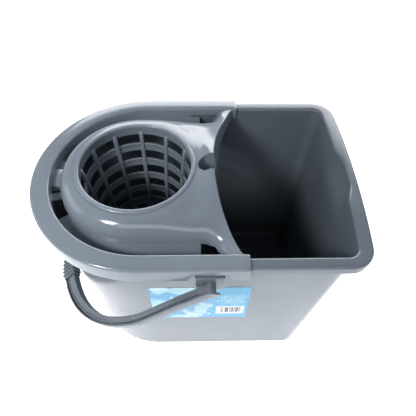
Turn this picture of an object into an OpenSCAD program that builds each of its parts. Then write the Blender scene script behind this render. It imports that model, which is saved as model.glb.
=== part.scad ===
// Mop bucket with a lift-off wringer deck and a swinging bail.
// +X runs to the square, pouring end, +Y to the back, +Z up from the ground.
// The origin is on the ground, in the middle of the bucket's length and width.

/* [Bucket] */
// Height of the bucket's rim above the ground
rim_z = 303; // [285:1:320]
// Half the width over the rim
rim_half_w = 132.5; // [128:0.5:140]
// Distance from the middle to the rim's square end
rim_right_x = 197.5; // [192:0.5:205]
// Distance from the middle to the rim's round end
rim_left_x = 194.5; // [190:0.5:196]
// Width of the rim's flat top
rim_w = 14.3; // [12:0.1:16]
// Depth of the rim's turned-down skirt
rim_drop = 12.7; // [10:0.1:16]
// Corner radius of the rim at the square end
rim_corner = 35; // [25:1:45]
// Half the width over the walls, at the ground
base_half_w = 108.4; // [100:0.1:110]
// Distance from the middle to the square end's wall, at the ground
base_right_x = 165; // [145:1:168]
// Corner radius of the walls, at the ground
base_corner = 26; // [20:1:35]
// Wall thickness
wall = 2.2; // [1.6:0.1:3]
// Height of the ring that the bucket stands on
foot_h = 3; // [2:0.5:5]
// How far the pouring spout bulges out of the inner wall
spout_out = 6.5; // [3:0.5:8]
// Half the width of the spout's deepest part
spout_half_w = 18; // [10:1:25]

/* [Wringer] */
// Top of the wringer's flange, above the rim
flange_up = 3; // [2.6:0.1:4]
// Half the width over the wringer's flange
flange_half_w = 135.5; // [133.5:0.1:141]
// Half the width between the flange's inner walls
flange_in = 115.2; // [112:0.1:116]
// Where the flange's square ends lie
flange_right_x = 57; // [52:1:60]
// Depth of the flange's skirt under its top
skirt_drop = 22; // [18:1:26]
// Depth of the gutter's floor under the bucket's rim
gutter_drop = 12; // [8:1:16]
// Half the width of the hump between the gutters
hump_half_w = 93; // [88:1:96]
// How far in from its foot the hump's shoulder is rolled
roll_w = 24.5; // [15:0.5:30]
// Height of the hump around the basket, above the rim
plateau_up = 15.5; // [10:0.5:20]
// Extra height of the deck's crown at the handle rest
crown_up = 7.7; // [0:0.1:12]
// Where the deck's curved edge crosses the middle line
edge_x = 22; // [16:1:30]
// Radius of the deck's edge in plan
edge_r = 250; // [220:10:400]
// Radius of the half-round rest for a mop handle
rest_r = 13; // [10:0.5:16]

/* [Basket] */
// Distance of the basket's axis from the middle, to the left
basket_left = 71.5; // [68:0.5:75]
// Radius of the basket's mouth
mouth_r = 68.5; // [60:0.5:70]
// Radius of the basket's wall at its bottom
bottom_r = 55.5; // [45:0.5:60]
// Depth of the basket under the deck's plateau
basket_depth = 143; // [100:1:160]
// Number of upright ribs
ribs = 12; // [6:1:16]
// Number of rows of drain windows
rows = 5; // [3:1:6]

/* [Bail] */
// Where the bail's pivot lies along the bucket
pivot_x = 16; // [10:1:20]
// How far the pivot lies under the rim
pivot_drop = 24; // [22:0.5:28]
// Radius of the bail's pins
pin_r = 5; // [4:0.1:6]
// How far below level the bail hangs at rest
hang = 35.5; // [20:0.5:35.5]
// Reach of the bail from its pivot to the outside of the grip's bend
reach = 263.5; // [255:0.5:265]
// Half the width over the bail's bend
bail_half_w = 159; // [157:0.5:160]
// Width of the bail's arms, in the bail's own plane
bail_w = 12; // [11:0.5:13]
// Width of the bail in the middle of its bend
hand_w = 18; // [14:0.5:18]
// Height of the bail's section, square to its plane
bail_h = 11; // [11:0.5:14]
// Half the length of the ribbed grip
grip_half = 60; // [40:5:70]

/* [Label] */
// Left end of the label on the front wall
label_left = -58.5; // [-60:0.5:-40]
// Length of the label
label_len = 125.5; // [80:0.5:140]
// Height of the label
label_h = 104; // [60:1:110]

/* [Hidden] */

slice = 0.02;          // thickness of the plates that a hull is drawn between
clear = 0.05;          // radial running clearance of the bail's pins

// bucket
rim_t = 2.4;           // thickness of the rim's flat top
bow_r = 1180;          // radius of the square end's slight bow in plan
floor_t = 2.6;
foot_in = 2;           // the foot ring's inset from the walls, and its width
foot_w = 5;
panel_in = 28;         // from the floor's edge to its raised panel
panel_up = 1.2;
top_half_w = rim_half_w - rim_w + wall;   // over the walls at the rim
top_left_x = rim_left_x - rim_w + wall;
top_right_x = rim_right_x - rim_w - 2.7 + wall;
top_corner = 19;
base_left_x = base_half_w + 62;
spout_drop = 45;       // height over which the spout fades into the wall
spout_back = 20;       // how far its block reaches back into the bucket

// bail ears moulded on the bucket's sides
ear_face = 137;        // their outer faces, from the middle
ear_left = -1;
ear_right = 31;
ear_top = 292;
ear_low = 265;
ear_skin = 3;
ear_boss_r = 9;
bore_len = 14;
pivot_z = rim_z - pivot_drop;

// wringer
flange_top = rim_z + flange_up;
flange_left_x = 197.5;
flange_gap = 0.3;      // between the flange and the rim it rests on
skirt_t = 2.5;
gutter_z = rim_z - gutter_drop;
gutter_wall = 1.8;
gutter_t = 2.2;
skin_t = 2.2;          // thickness of the deck
turn_x = 8;            // where the hump's foot starts to turn outwards
turn_r = 20;           // radius of that turn
turn_y = hump_half_w + turn_r;
basket_x = -basket_left;
apron_z = gutter_z - gutter_t;
apron_lean = 0.12;     // outward lean of the apron under the deck's edge
roll_in = 2.6;         // powers that shape the shoulder's roll
roll_out = 2.2;
deck_low = 2;          // height of the deck above the rim where it meets the flange
rest_x = 15.4;         // axis of the handle rest
rest_up = 13.7;        // height above the rim, and slope, of the cut that trims the handle rest's wall
rest_slope = 20;
gutter_cx = -60;       // middle of the gutter's round end
slot_in_r = 90;        // inner and outer radius of the gutter's drain openings there
slot_out_r = 112;
gutter_right_x = flange_right_x - 3;
tab_left_x = -176.2;   // raised tab across the gutter
tab_right_x = -163.3;
tab_half_w = 14;
tab_h = 7.5;
gap_room = 3;          // room in the flange's skirt beside and above an ear
gap_slant = 5;         // outward slant of that gap's sides
gap_up = 4;

// basket
plateau_z = rim_z + plateau_up;
basket_z = plateau_z - basket_depth;
bead_w = 3.5;
bead_h = 1.8;
basket_t = 2.2;
rib_w = 4.8;
rib_in = 2.2;          // how far the ribs stand proud inside
window_h = 14;
window_pitch = 25.8;
first_window = rim_z + 2;
hub_r = 14;            // closed middle of the bottom
seam = 0.2;            // between the basket's hoops, ribs and bottom

// bail
bend_u = 95;           // where the bail's arms run into its bend
boss_y = 138;          // inner face of the bail's bosses
arm_y = 150.3;         // outside of the arms at the pivot
arm_splay = 2.8;       // how much further out the straight arms run before the bend
nose = 9;              // how far the arms' outer walls run on past the pivot
pin_in = 1.5;          // room between a pin's end and the bottom of its bore
lap = 0.5;             // how far its joined solids run into each other
wall_t = 2.2;          // the bail's outer wall
groove_w = 2.6;        // the narrow groove behind it
groove_d = 3.8;
channel_d = 1.2;       // the broad shallow channel, and the edge that is left inside it
channel_edge = 1.6;

// label
label_t = 0.3;
label_low = 126;
wall_rise = rim_z - foot_h;
wall_lean = atan((top_half_w - base_half_w) / wall_rise);

// The bail's grip hangs past the round end, so the drawing is moved to centre the whole on the origin.
grip_over = 1.2;       // how far the grip's sleeve stands out round the bail
grip_proud = 1.6;      // and its ribs beyond that
grip_left_x = pivot_x - (reach + grip_over + grip_proud) * cos(hang)
    - (bail_h / 2 + grip_over + grip_proud) * sin(hang);
frame_x = round(-(rim_right_x + grip_left_x) / 2);

// ---------- plans ----------

// Bucket outline: a half-round end at the left, two corners and a slight bow at the right.
module plan(half_w, left_x, right_x, corner) {
    cx = half_w - left_x;
    intersection() {
        union() {
            translate([cx, 0]) circle(half_w, $fn = 56);
            translate([cx, -half_w]) square([right_x - corner - cx, 2 * half_w]);
            translate([cx, corner - half_w]) square([right_x - cx, 2 * (half_w - corner)]);
            for (s = [-1, 1])
                translate([right_x - corner, s * (half_w - corner)]) circle(corner, $fn = 32);
        }
        translate([right_x - bow_r, 0]) circle(bow_r, $fn = 360);
    }
}

// A thin plate of that outline at a height, for drawing a tapered wall between two of them.
module plate(z, half_w, left_x, right_x, corner) {
    translate([0, 0, z]) linear_extrude(slice) plan(half_w, left_x, right_x, corner);
}

// The wringer's outline: half round at the left, cut square at the right.
module deck_plan(half_w, left_x, right_x) {
    cx = half_w - left_x;
    intersection() {
        union() {
            translate([cx, 0]) circle(half_w, $fn = 96);
            translate([cx, -half_w]) square([right_x - cx, 2 * half_w]);
        }
        translate([-left_x - 1, -half_w - 1]) square([left_x + 1 + right_x, 2 * half_w + 2]);
    }
}

// ---------- bucket ----------

// The tapered body, grown inwards by t.
module body_block(t, low, high) {
    hull() {
        plate(low, base_half_w - t, base_left_x - t, base_right_x - t, base_corner - t);
        plate(high, top_half_w - t, top_left_x - t, top_right_x - t, top_corner - t);
    }
}

// The spout's bulge in the square end's wall, grown by t.
module spout_block(t) {
    back_x = top_right_x - wall - spout_back;
    wide = 2.3 * spout_half_w;
    hull() {
        translate([back_x, -spout_half_w - t, rim_z + 1])
            cube([spout_back + spout_out + t, 2 * (spout_half_w + t), slice]);
        translate([back_x, -wide - t, rim_z + 1])
            cube([spout_back + t, 2 * (wide + t), slice]);
        translate([back_x - 8, -spout_half_w - t, rim_z - spout_drop])
            cube([spout_back + 2 + t, 2 * (spout_half_w + t), slice]);
    }
}

// One ear, on the front side: a hollow box open below, with a boss for the pin.
module ear() {
    wall_y = top_half_w - 1.2;
    difference() {
        translate([ear_left, -ear_face, ear_low])
            cube([ear_right - ear_left, ear_face - wall_y, ear_top - ear_low]);
        translate([ear_left + ear_skin, ear_skin - ear_face, ear_low - 1])
            cube([ear_right - ear_left - 2 * ear_skin, ear_face - wall_y,
                  ear_top - ear_low - ear_skin + 1]);
    }
    translate([pivot_x, -ear_face, pivot_z])
        rotate([-90, 0, 0]) cylinder(ear_face - wall_y, r = ear_boss_r, $fn = 48);
}

module bucket() {
    color([0.55, 0.58, 0.61]) {
        bucket_shell();
        translate([0, 0, foot_h + 1]) linear_extrude(floor_t - 1 + panel_up) base_plan(panel_in);
    }
}

// The walls' outline at the ground, set in by t.
module base_plan(t) {
    plan(base_half_w - t, base_left_x - t, base_right_x - t, max(base_corner - t, 10));
}

module bucket_shell() {
    difference() {
        union() {
            body_block(0, foot_h, rim_z - 1);
            spout_block(wall);
            translate([0, 0, rim_z - rim_drop]) linear_extrude(rim_drop) rim_plan(0);
            linear_extrude(foot_h + 1) difference() {
                base_plan(foot_in);
                base_plan(foot_in + foot_w);
            }
            for (s = [0, 1]) mirror([0, s, 0]) ear();
        }
        // inside of the body, from its floor up through the rim
        hull() {
            plate(foot_h + floor_t, base_half_w - wall, base_left_x - wall,
                  base_right_x - wall, base_corner - wall);
            plate(rim_z + 1, top_half_w - wall, top_left_x - wall,
                  top_right_x - wall, top_corner - wall);
        }
        spout_block(0);
        rim_channel();
        // level top
        translate([-250, -200, rim_z]) cube([500, 400, 20]);
        for (s = [-1, 1])
            translate([pivot_x, s * (ear_face + 1), pivot_z])
                rotate([90 * s, 0, 0]) cylinder(bore_len + 1, r = pin_r + clear, $fn = 48);
    }
}

module rim_plan(t) {
    plan(rim_half_w - t, rim_left_x - t, rim_right_x - t, rim_corner - t);
}

// The hollow under the rim's flat top, outside the wall and clear of the ears.
module rim_channel() {
    difference() {
        translate([0, 0, rim_z - rim_drop - 1]) linear_extrude(rim_drop + 1 - rim_t) difference() {
            rim_plan(wall);
            plan(top_half_w, top_left_x, top_right_x, top_corner);
        }
        translate([ear_left, -200, 0]) cube([ear_right - ear_left, 400, ear_top]);
        spout_block(wall);
    }
}

// ---------- label ----------

module front_label() {
    lift = base_half_w + (label_low - foot_h) * tan(wall_lean) + 0.06;
    color([0.5, 0.86, 0.96])
        translate([label_left, -lift, label_low]) rotate([wall_lean, 0, 0])
            translate([0, -label_t, 0]) cube([label_len, label_t, label_h / cos(wall_lean)]);
}

// ---------- wringer deck ----------

function clamp01(v) = max(0, min(1, v));
function smooth(v) = let (t = clamp01(v)) t * t * (3 - 2 * t);

// x of the deck's curved right edge at a distance from the middle line
function deck_edge(y) = edge_x + edge_r - sqrt(edge_r * edge_r - y * y);

// Distance of a point of the hump from the gutter's edge
function foot_dist(x, y) =
    x > turn_x ? norm([x - turn_x, max(0, turn_y - abs(y))]) - turn_r
    : x > basket_x ? hump_half_w - abs(y)
    : hump_half_w - norm([x - basket_x, y]);

// Height of the deck above the rim, before its shoulders are rolled down
function crown(x, y) =
    let (top = plateau_up + crown_up * smooth((x + 8) / 30),
         bell = (1 + cos(180 * min(1, abs(y) / flange_in))) / 2,
         share = smooth((x + 60) / 100),
         flat = 1 - smooth((norm([x - basket_x, y]) - mouth_r - bead_w) / 20))
    flat * plateau_up + (1 - flat) * (deck_low + (top - deck_low) * (1 - share * (1 - bell)));

// Share of the full drop at a distance from the foot: 1 at the foot, 0 past the roll.
// Its curve lies between a quarter round and a chamfer.
function roll(d) = let (t = clamp01(1 - d / roll_w)) 1 - pow(1 - pow(t, roll_in), 1 / roll_out);

function hump_z(x, y, d) =
    let (top = crown(x, y)) rim_z + top - (top + gutter_drop) * roll(max(0, d));

// The deck's skin is swept as rings from the basket's mouth out to its edge.
// Each station is [outer x, outer y, inset x, inset y, angle on the mouth, lean of the apron].
edge_steps = 12;
side_steps = 3;
turn_steps = 7;
long_steps = 8;
end_steps = 12;
rings = 9;
seam_y = flange_in + 0.8;   // the skin runs this far into the flange's inner wall
corner_y = flange_in - 2;

stations = concat(
    [for (i = [0:edge_steps]) let (y = corner_y * i / edge_steps, x = deck_edge(y))
        [x, y, x - skin_t, y, 28 * i / edge_steps, 1]],
    [for (i = [0:side_steps]) let (x = deck_edge(corner_y) + 1.5 - (deck_edge(corner_y) + 1.5
        - turn_x - turn_r) * i / side_steps)
        [x, seam_y, x + (i == side_steps ? skin_t : i == 0 ? -skin_t : 0), seam_y - skin_t,
         29.5 + 5.5 * i / side_steps, 0]],
    [for (i = [0:turn_steps]) let (a = 90 * i / turn_steps)
        [turn_x + turn_r * cos(a), turn_y - turn_r * sin(a),
         turn_x + (turn_r + skin_t) * cos(a), turn_y - (turn_r + skin_t) * sin(a),
         37 + 14 * i / turn_steps, 0]],
    [for (i = [1:long_steps]) let (x = turn_x + (basket_x - turn_x) * i / long_steps)
        [x, hump_half_w, x, hump_half_w - skin_t, 51 + 39 * i / long_steps, 0]],
    [for (i = [1:end_steps]) let (a = 90 + 90 * i / end_steps)
        [basket_x + hump_half_w * cos(a), hump_half_w * sin(a),
         basket_x + (hump_half_w - skin_t) * cos(a), (hump_half_w - skin_t) * sin(a), a, 0]]);

half_n = len(stations);
// the whole round: the half above, then its mirror image back to the start
all_stations = concat(stations, [for (i = [half_n - 2:-1:1]) let (s = stations[i])
    [s[0], -s[1], s[2], -s[3], 360 - s[4], s[5]]]);

function ring_t(j) = 1 - pow(1 - j / rings, 1.7);

function station_profile(s) =
    let (mx = basket_x + mouth_r * cos(s[4]), my = mouth_r * sin(s[4]),
         top_z = hump_z(s[0], s[1], foot_dist(s[0], s[1])),
         run = s[5] * apron_lean * (top_z - apron_z))
    concat(
        [for (j = [0:rings]) let (t = ring_t(j), x = mx + (s[0] - mx) * t, y = my + (s[1] - my) * t)
            [x, y, hump_z(x, y, foot_dist(x, y))]],
        [[s[0] + run, s[1], apron_z],
         [s[5] == 0 ? (s[0] + s[2]) / 2 : s[0] + run - skin_t, (s[1] + s[3]) / 2, apron_z]],
        [for (j = [rings:-1:0]) let (t = ring_t(j), x = mx + (s[2] - mx) * t, y = my + (s[3] - my) * t)
            [x, y, hump_z(x, y, foot_dist(x, y) - skin_t) - skin_t]]);

module deck_skin() {
    n = len(all_stations);
    k = 2 * rings + 4;
    pts = [for (s = all_stations) each station_profile(s)];
    faces = [for (i = [0:n - 1]) for (j = [0:k - 1])
        let (a = i * k + j, b = i * k + (j + 1) % k,
             c = ((i + 1) % n) * k + (j + 1) % k, d = ((i + 1) % n) * k + j)
        each [[a, c, b], [a, d, c]]];
    polyhedron(pts, faces);
}

// Gutter floor in plan: a band round the hump, with its drain openings left out.
module gutter_plan() {
    difference() {
        deck_plan(flange_in + 0.6, flange_in - gutter_cx + 0.6, turn_x - 2.4);
        translate([basket_x, 0]) circle(hump_half_w - 1, $fn = 96);
        translate([basket_x, 1 - hump_half_w]) square([120, 2 * (hump_half_w - 1)]);
        for (s = [-1, 1]) {
            gutter_slot(s * 16, s * 31);
            gutter_slot(s * 8, s * 10.5);
        }
    }
}

// An opening across the gutter, between two angles from the middle of its round end.
module gutter_slot(a, b) {
    corners = [[slot_in_r, a], [slot_out_r, a], [slot_out_r, b], [slot_in_r, b]];
    polygon([for (p = corners) [gutter_cx - p[0] * cos(p[1]), p[0] * sin(p[1])]]);
}

// Gap in the flange's skirt over each ear
module ear_gap() {
    top_z = ear_top + gap_up;
    low_z = flange_top - skirt_drop - 1;
    left_x = ear_left - gap_room;
    right_x = ear_right + gap_room;
    rotate([90, 0, 0]) linear_extrude(400, center = true)
        polygon([[left_x - gap_slant, low_z], [left_x, top_z],
                 [right_x, top_z], [right_x + gap_slant, low_z]]);
}

module wringer_deck() {
    color([0.66, 0.69, 0.71]) {
        deck_frame();
        deck_top();
    }
}

// Flange, skirt and gutter, which carry the deck.
module deck_frame() {
    in_left = flange_in - gutter_cx;
    difference() {
        union() {
            // flange over the bucket's rim
            translate([0, 0, rim_z + flange_gap]) linear_extrude(flange_up - flange_gap) difference() {
                deck_plan(flange_half_w, flange_left_x, flange_right_x);
                deck_plan(flange_in, in_left, flange_right_x + 1);
            }
            // skirt outside the rim
            translate([0, 0, flange_top - skirt_drop]) linear_extrude(skirt_drop) difference() {
                deck_plan(flange_half_w, flange_left_x, flange_right_x);
                deck_plan(flange_half_w - skirt_t, flange_left_x - skirt_t, flange_right_x + 1);
            }
            // gutter's outer wall
            translate([0, 0, apron_z - 0.3]) linear_extrude(flange_top - apron_z) difference() {
                deck_plan(flange_in + gutter_wall, in_left + gutter_wall, gutter_right_x);
                deck_plan(flange_in, in_left, flange_right_x + 1);
            }
            translate([0, 0, apron_z + 0.25]) linear_extrude(gutter_t) gutter_plan();
            translate([tab_left_x, -tab_half_w, apron_z + 0.5])
                cube([tab_right_x - tab_left_x, 2 * tab_half_w, tab_h]);
        }
        ear_gap();
    }
}

// The hump and deck, with the half-round rest for a mop handle cut right through.
module deck_top() {
    difference() {
        union() {
            deck_skin();
            handle_rest();
        }
        translate([rest_x, 0, apron_z - 1]) {
            cylinder(60, r = rest_r, $fn = 64);
            translate([0, -rest_r, 0]) cube([40, 2 * rest_r, 60]);
        }
    }
}

// Wall of the handle rest, hanging under the deck and cut to its slope.
module handle_rest() {
    intersection() {
        translate([rest_x, 0, apron_z + 0.3])
            cylinder(60, r = rest_r + skin_t, $fn = 64);
        translate([-5, -30, apron_z]) cube([edge_x + 7, 60, 60]);
        translate([0, 0, rim_z + rest_up]) rotate([0, -rest_slope, 0])
            translate([-60, -60, -80]) cube([160, 120, 80]);
    }
}

// ---------- wringer basket ----------

// Inner radius of the basket's wall at a height
function basket_r(z) = let (t = (plateau_z - z) / basket_depth)
    bottom_r + (mouth_r - bottom_r) * pow(1 - t, 1.6);

// One hoop of the wall between two heights
module basket_hoop(z0, z1) {
    rotate_extrude($fn = 96) polygon([
        [basket_r(z0), z0], [basket_r(z0) + basket_t, z0],
        [basket_r(z1) + basket_t, z1], [basket_r(z1), z1]]);
}

// The hoops: the bead that rests on the deck with the plain band below it, and the rest under it.
module basket_hoops() {
    band_r = basket_r(first_window);
    color([0.60, 0.63, 0.66]) translate([basket_x, 0, 0]) {
        rotate_extrude($fn = 96) polygon([
            [band_r, first_window], [band_r + basket_t, first_window],
            [mouth_r - 0.3, plateau_z - 3], [mouth_r - 0.3, plateau_z + 0.05],
            [mouth_r + bead_w, plateau_z + 0.05], [mouth_r + bead_w, plateau_z + 0.8],
            [mouth_r + bead_w - 1, plateau_z + bead_h], [mouth_r - 1, plateau_z + bead_h],
            [mouth_r - 2, plateau_z + 0.8], [mouth_r - 2.4, plateau_z - 2]]);
        for (i = [1:rows]) {
            top_z = first_window - (i - 1) * window_pitch - window_h;
            basket_hoop(i == rows ? basket_z : first_window - i * window_pitch, top_z);
        }
    }
}

// Upright ribs inside the hoops
module basket_ribs() {
    z0 = basket_z + basket_t + seam;
    z1 = first_window - seam;
    steps = 5;
    levels = [for (i = [0:steps]) z0 + (z1 - z0) * i / steps];
    color([0.58, 0.61, 0.64]) translate([basket_x, 0, 0])
        for (i = [0:ribs - 1]) rotate(i * 360 / ribs)
            rotate([90, 0, 0]) linear_extrude(rib_w, center = true) polygon(concat(
                [for (z = levels) [basket_r(z) - rib_in - seam, z]],
                [for (k = [steps:-1:0]) [basket_r(levels[k]) - seam, levels[k]]]));
}

// Closed middle, and drain slots between spokes
module basket_bottom() {
    color([0.56, 0.59, 0.62]) translate([basket_x, 0, basket_z]) difference() {
        cylinder(basket_t, r = bottom_r - seam, $fn = 96);
        for (i = [0:ribs - 1]) rotate((i + 0.5) * 360 / ribs)
            translate([0, 0, -1]) linear_extrude(basket_t + 2)
                polygon([[hub_r + 2, -1.6], [bottom_r - 5, -7], [bottom_r - 5, 7], [hub_r + 2, 1.6]]);
    }
}

// ---------- bail ----------

bend_steps = 36;

// The bail's width at angle a of its bend: the arms' width, growing to that of the middle.
function bail_width(a) = let (t = min(1, max(0, (70 - a) / 45)))
    bail_w + (hand_w - bail_w) * t * t * (3 - 2 * t);

// Half of the bail's outline in its own plane, from the pivot round to the middle of the bend. It is
// the outside (across = 0) or the inside (1), set in by t.
function half_outline(across, t) = concat(
    [[0, arm_y - across * bail_w - t], [40, arm_y + arm_splay - across * bail_w - t]],
    [for (i = [0:bend_steps]) let (a = 90 - 90 * i / bend_steps, w = across * bail_width(a) + t)
        [bend_u + (reach - bend_u - w) * cos(a), (bail_half_w - w) * sin(a)]]);

function mirrored(p) = [for (i = [len(p) - 1:-1:0]) [p[i][0], -p[i][1]]];
function reversed(p) = [for (i = [len(p) - 1:-1:0]) p[i]];

// The band between two such outlines
module bend_region(across0, t0, across1, t1) {
    p = half_outline(across0, t0);
    q = half_outline(across1, t1);
    polygon(concat(p, mirrored(p), reversed(mirrored(q)), reversed(q)));
}

// Puts a shape drawn in the bail's plane (u along the arms, v across) where the bail hangs.
module hung() {
    translate([pivot_x, 0, pivot_z]) rotate([0, -hang, 0]) mirror([1, 0, 0]) children();
}

module bail() {
    color([0.45, 0.48, 0.51]) hung() {
        difference() {
            translate([0, 0, -bail_h / 2]) linear_extrude(bail_h) bend_region(0, 0, 1, 0);
            // above and below the web, a narrow groove behind the outer wall and a broad channel
            for (side = [-1, 1]) {
                sunk(side, groove_d) bend_region(0, wall_t, 0, wall_t + groove_w);
                sunk(side, channel_d) bend_region(0, wall_t + groove_w + channel_edge, 1, -channel_edge);
            }
        }
        for (s = [-1, 1]) {
            // rounded end of the arm, and the pin that turns in the ear
            translate([0, s * boss_y, 0]) rotate([-90 * s, 0, 0])
                cylinder(arm_y - boss_y - wall_t + lap, r = bail_h / 2, $fn = 48);
            translate([0, s * (ear_face - bore_len + pin_in), 0]) rotate([-90 * s, 0, 0])
                cylinder(boss_y - ear_face + bore_len, r = pin_r, $fn = 48);
            // the outer wall runs on past the pivot and stops in a slanting cut
            translate([0, s * (arm_y - wall_t / 2), 0]) rotate([90, 0, 0])
                linear_extrude(wall_t, center = true)
                    polygon([[lap, bail_h / 2], [-nose * 0.2, bail_h / 2], [-nose, -bail_h / 4],
                             [-nose * 0.8, -bail_h / 2], [lap, -bail_h / 2]]);
        }
    }
}

// Where a groove is sunk to a depth from the top (1) or the underside (-1). It is left out by the
// pivot and under the grip, where the section is solid.
module sunk(side, depth) {
    solid_end = 14;
    solid_grip = 30;
    translate([0, 0, side > 0 ? bail_h / 2 - depth : -bail_h / 2 - 1]) linear_extrude(depth + 1)
        difference() {
            children();
            translate([-1, -200]) square([solid_end + 1, 400]);
            translate([reach - solid_grip, -200]) square([60, 400]);
        }
}

// Ribbed sleeve round the middle of the bail's bend
module bail_grip() {
    over = grip_over;
    gap = 0.1;
    rib_n = 17;
    color([0.40, 0.43, 0.46]) hung() {
        intersection() {
            difference() {
                translate([0, 0, -bail_h / 2 - over]) linear_extrude(bail_h + 2 * over)
                    bend_region(0, -over, 1, over);
                translate([0, 0, -bail_h / 2 - gap]) linear_extrude(bail_h + 2 * gap)
                    bend_region(0, -gap, 1, gap);
            }
            translate([bend_u, -grip_half, -50]) cube([300, 2 * grip_half, 100]);
        }
        for (i = [0:rib_n - 1]) grip_rib((i - (rib_n - 1) / 2) * 2 * (grip_half - 4) / rib_n);
    }
}

// One raised rib round the sleeve, at a distance v from the middle
module grip_rib(v) {
    a = asin(v / bail_half_w);
    out = 2 * (grip_over + grip_proud);
    difference() {
        translate([bend_u + (reach - bend_u - hand_w / 2) * cos(a), v * (1 - hand_w / 2 / bail_half_w), 0])
            rotate([0, 0, atan(tan(a) * (reach - bend_u) / bail_half_w)])
                cube([hand_w + out, 2.4, bail_h + out], center = true);
        translate([0, 0, (-bail_h - grip_over) / 2]) linear_extrude(bail_h + grip_over)
            bend_region(0, -grip_over / 2, 1, grip_over / 2);
    }
}

module placed() {
    translate([frame_x, 0, 0]) children();
}

placed() bucket();
placed() front_label();
placed() wringer_deck();
placed() basket_hoops();
placed() basket_ribs();
placed() basket_bottom();
placed() bail();
placed() bail_grip();
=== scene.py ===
# %% [markdown]
# A mop bucket with a lift-off wringer. The real one is five mouldings and a printed label: the bucket, the
# wringer's deck and its basket, the bail and its grip. Each is modelled here in the place that the packed
# model gives it, so the first step is to load that model and keep the box it fills.

# %% Load the frame
import math

import bmesh
import bpy
from mathutils import Matrix, Vector


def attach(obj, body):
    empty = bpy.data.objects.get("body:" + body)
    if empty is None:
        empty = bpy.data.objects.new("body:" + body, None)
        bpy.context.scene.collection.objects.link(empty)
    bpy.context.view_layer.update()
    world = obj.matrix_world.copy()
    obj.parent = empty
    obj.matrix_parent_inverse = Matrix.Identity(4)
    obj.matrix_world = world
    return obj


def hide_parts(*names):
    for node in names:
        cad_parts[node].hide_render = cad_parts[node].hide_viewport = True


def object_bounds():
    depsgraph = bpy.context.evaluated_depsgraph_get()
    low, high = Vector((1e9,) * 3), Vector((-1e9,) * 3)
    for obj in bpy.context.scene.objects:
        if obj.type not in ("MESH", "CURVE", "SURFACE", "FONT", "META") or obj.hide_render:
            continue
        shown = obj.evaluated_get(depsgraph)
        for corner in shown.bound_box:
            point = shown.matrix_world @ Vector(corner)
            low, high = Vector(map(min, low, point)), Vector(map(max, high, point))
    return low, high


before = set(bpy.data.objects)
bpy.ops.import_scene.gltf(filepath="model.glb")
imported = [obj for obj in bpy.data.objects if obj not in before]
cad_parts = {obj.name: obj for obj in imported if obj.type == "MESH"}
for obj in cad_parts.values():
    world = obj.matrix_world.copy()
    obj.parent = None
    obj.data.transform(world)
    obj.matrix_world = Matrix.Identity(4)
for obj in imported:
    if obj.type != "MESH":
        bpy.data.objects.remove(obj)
cad_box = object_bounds()
print("size in mm:", [round(1000 * (b - a), 1) for a, b in zip(*cad_box)])

# %% [markdown]
# The camera comes first, so that every later look is from the same place. It stands in front of the bucket,
# well above it, and looks down at a little over fifty degrees. A slight roll of the camera levels the rim.

# %% Camera
EYE = Vector((0.0076, -0.326, 0.6712))
LOOK_DOWN = 0.93304
LOOK_RIGHT = 0.038406
ROLL = 0.024173
SENSOR, LENS = 36, 34.615385       # in mm


def camera_axes():
    """Right, up and forward of a camera that is turned, tipped down and rolled."""
    cos_d = math.cos(LOOK_DOWN)
    forward = Vector((math.sin(LOOK_RIGHT) * cos_d, math.cos(LOOK_RIGHT) * cos_d, -math.sin(LOOK_DOWN)))
    level = Vector((math.cos(LOOK_RIGHT), -math.sin(LOOK_RIGHT), 0))
    upright = level.cross(forward)
    right = math.cos(ROLL) * level + math.sin(ROLL) * upright
    up = math.cos(ROLL) * upright - math.sin(ROLL) * level
    return right, up, forward


bpy.ops.object.select_all(action="DESELECT")
bpy.ops.object.camera_add(location=EYE)
camera = bpy.context.object
camera.name = "camera"
camera.data.sensor_width = SENSOR
camera.data.lens = LENS
camera.data.clip_start = 0.01
right, up, forward = camera_axes()
turned = Matrix((right, up, -forward)).transposed()
camera.matrix_world = Matrix.Translation(EYE) @ turned.to_4x4()
bpy.context.scene.camera = camera
print("camera looks along", [round(x, 3) for x in forward])

# %% [markdown]
# Everything is measured in millimetres on the bucket's own drawing, as a maker would, and one function turns
# such a place into metres in the part's frame. Blender could be set to millimetres, but then every operator
# would need the same care. Two small functions ease a value from one to another.

# %% Places and easing
DRAWING_X = 4        # the drawing's zero lies this far to the right of the part's, in mm


def at(x, y, z):
    """A place in the part's frame, from millimetres on the bucket's own drawing."""
    return Vector(((x + DRAWING_X) / 1000, y / 1000, z / 1000))


def smooth(v):
    t = max(0.0, min(1.0, v))
    return t * t * (3 - 2 * t)


def mix(a, b, t):
    return a + (b - a) * t


print("the drawing's zero is at", [round(1000 * c, 1) for c in at(0, 0, 0)], "mm")

# %% Clean selection
def deselect():
    if bpy.context.mode != "OBJECT":
        bpy.ops.object.mode_set(mode="OBJECT")
    bpy.ops.object.select_all(action="DESELECT")


def only(piece):
    """Selects one piece and makes it the active one."""
    deselect()
    piece.select_set(True)
    bpy.context.view_layer.objects.active = piece


deselect()
print("selected:", len(bpy.context.selected_objects))

# %% [markdown]
# The bucket is one injection moulding: half round at one end and nearly square at the other, where the wall
# bows out a little. It widens upwards so that buckets nest and the mould lets go. A scaled box with bevels
# could stand for it, but its bow and corners have to change on the way up. So it starts from an outline: a
# side, a corner, the bow, a corner, a side and the half circle, always with the same number of points, so
# that any two outlines can be joined by a wall.

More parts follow.
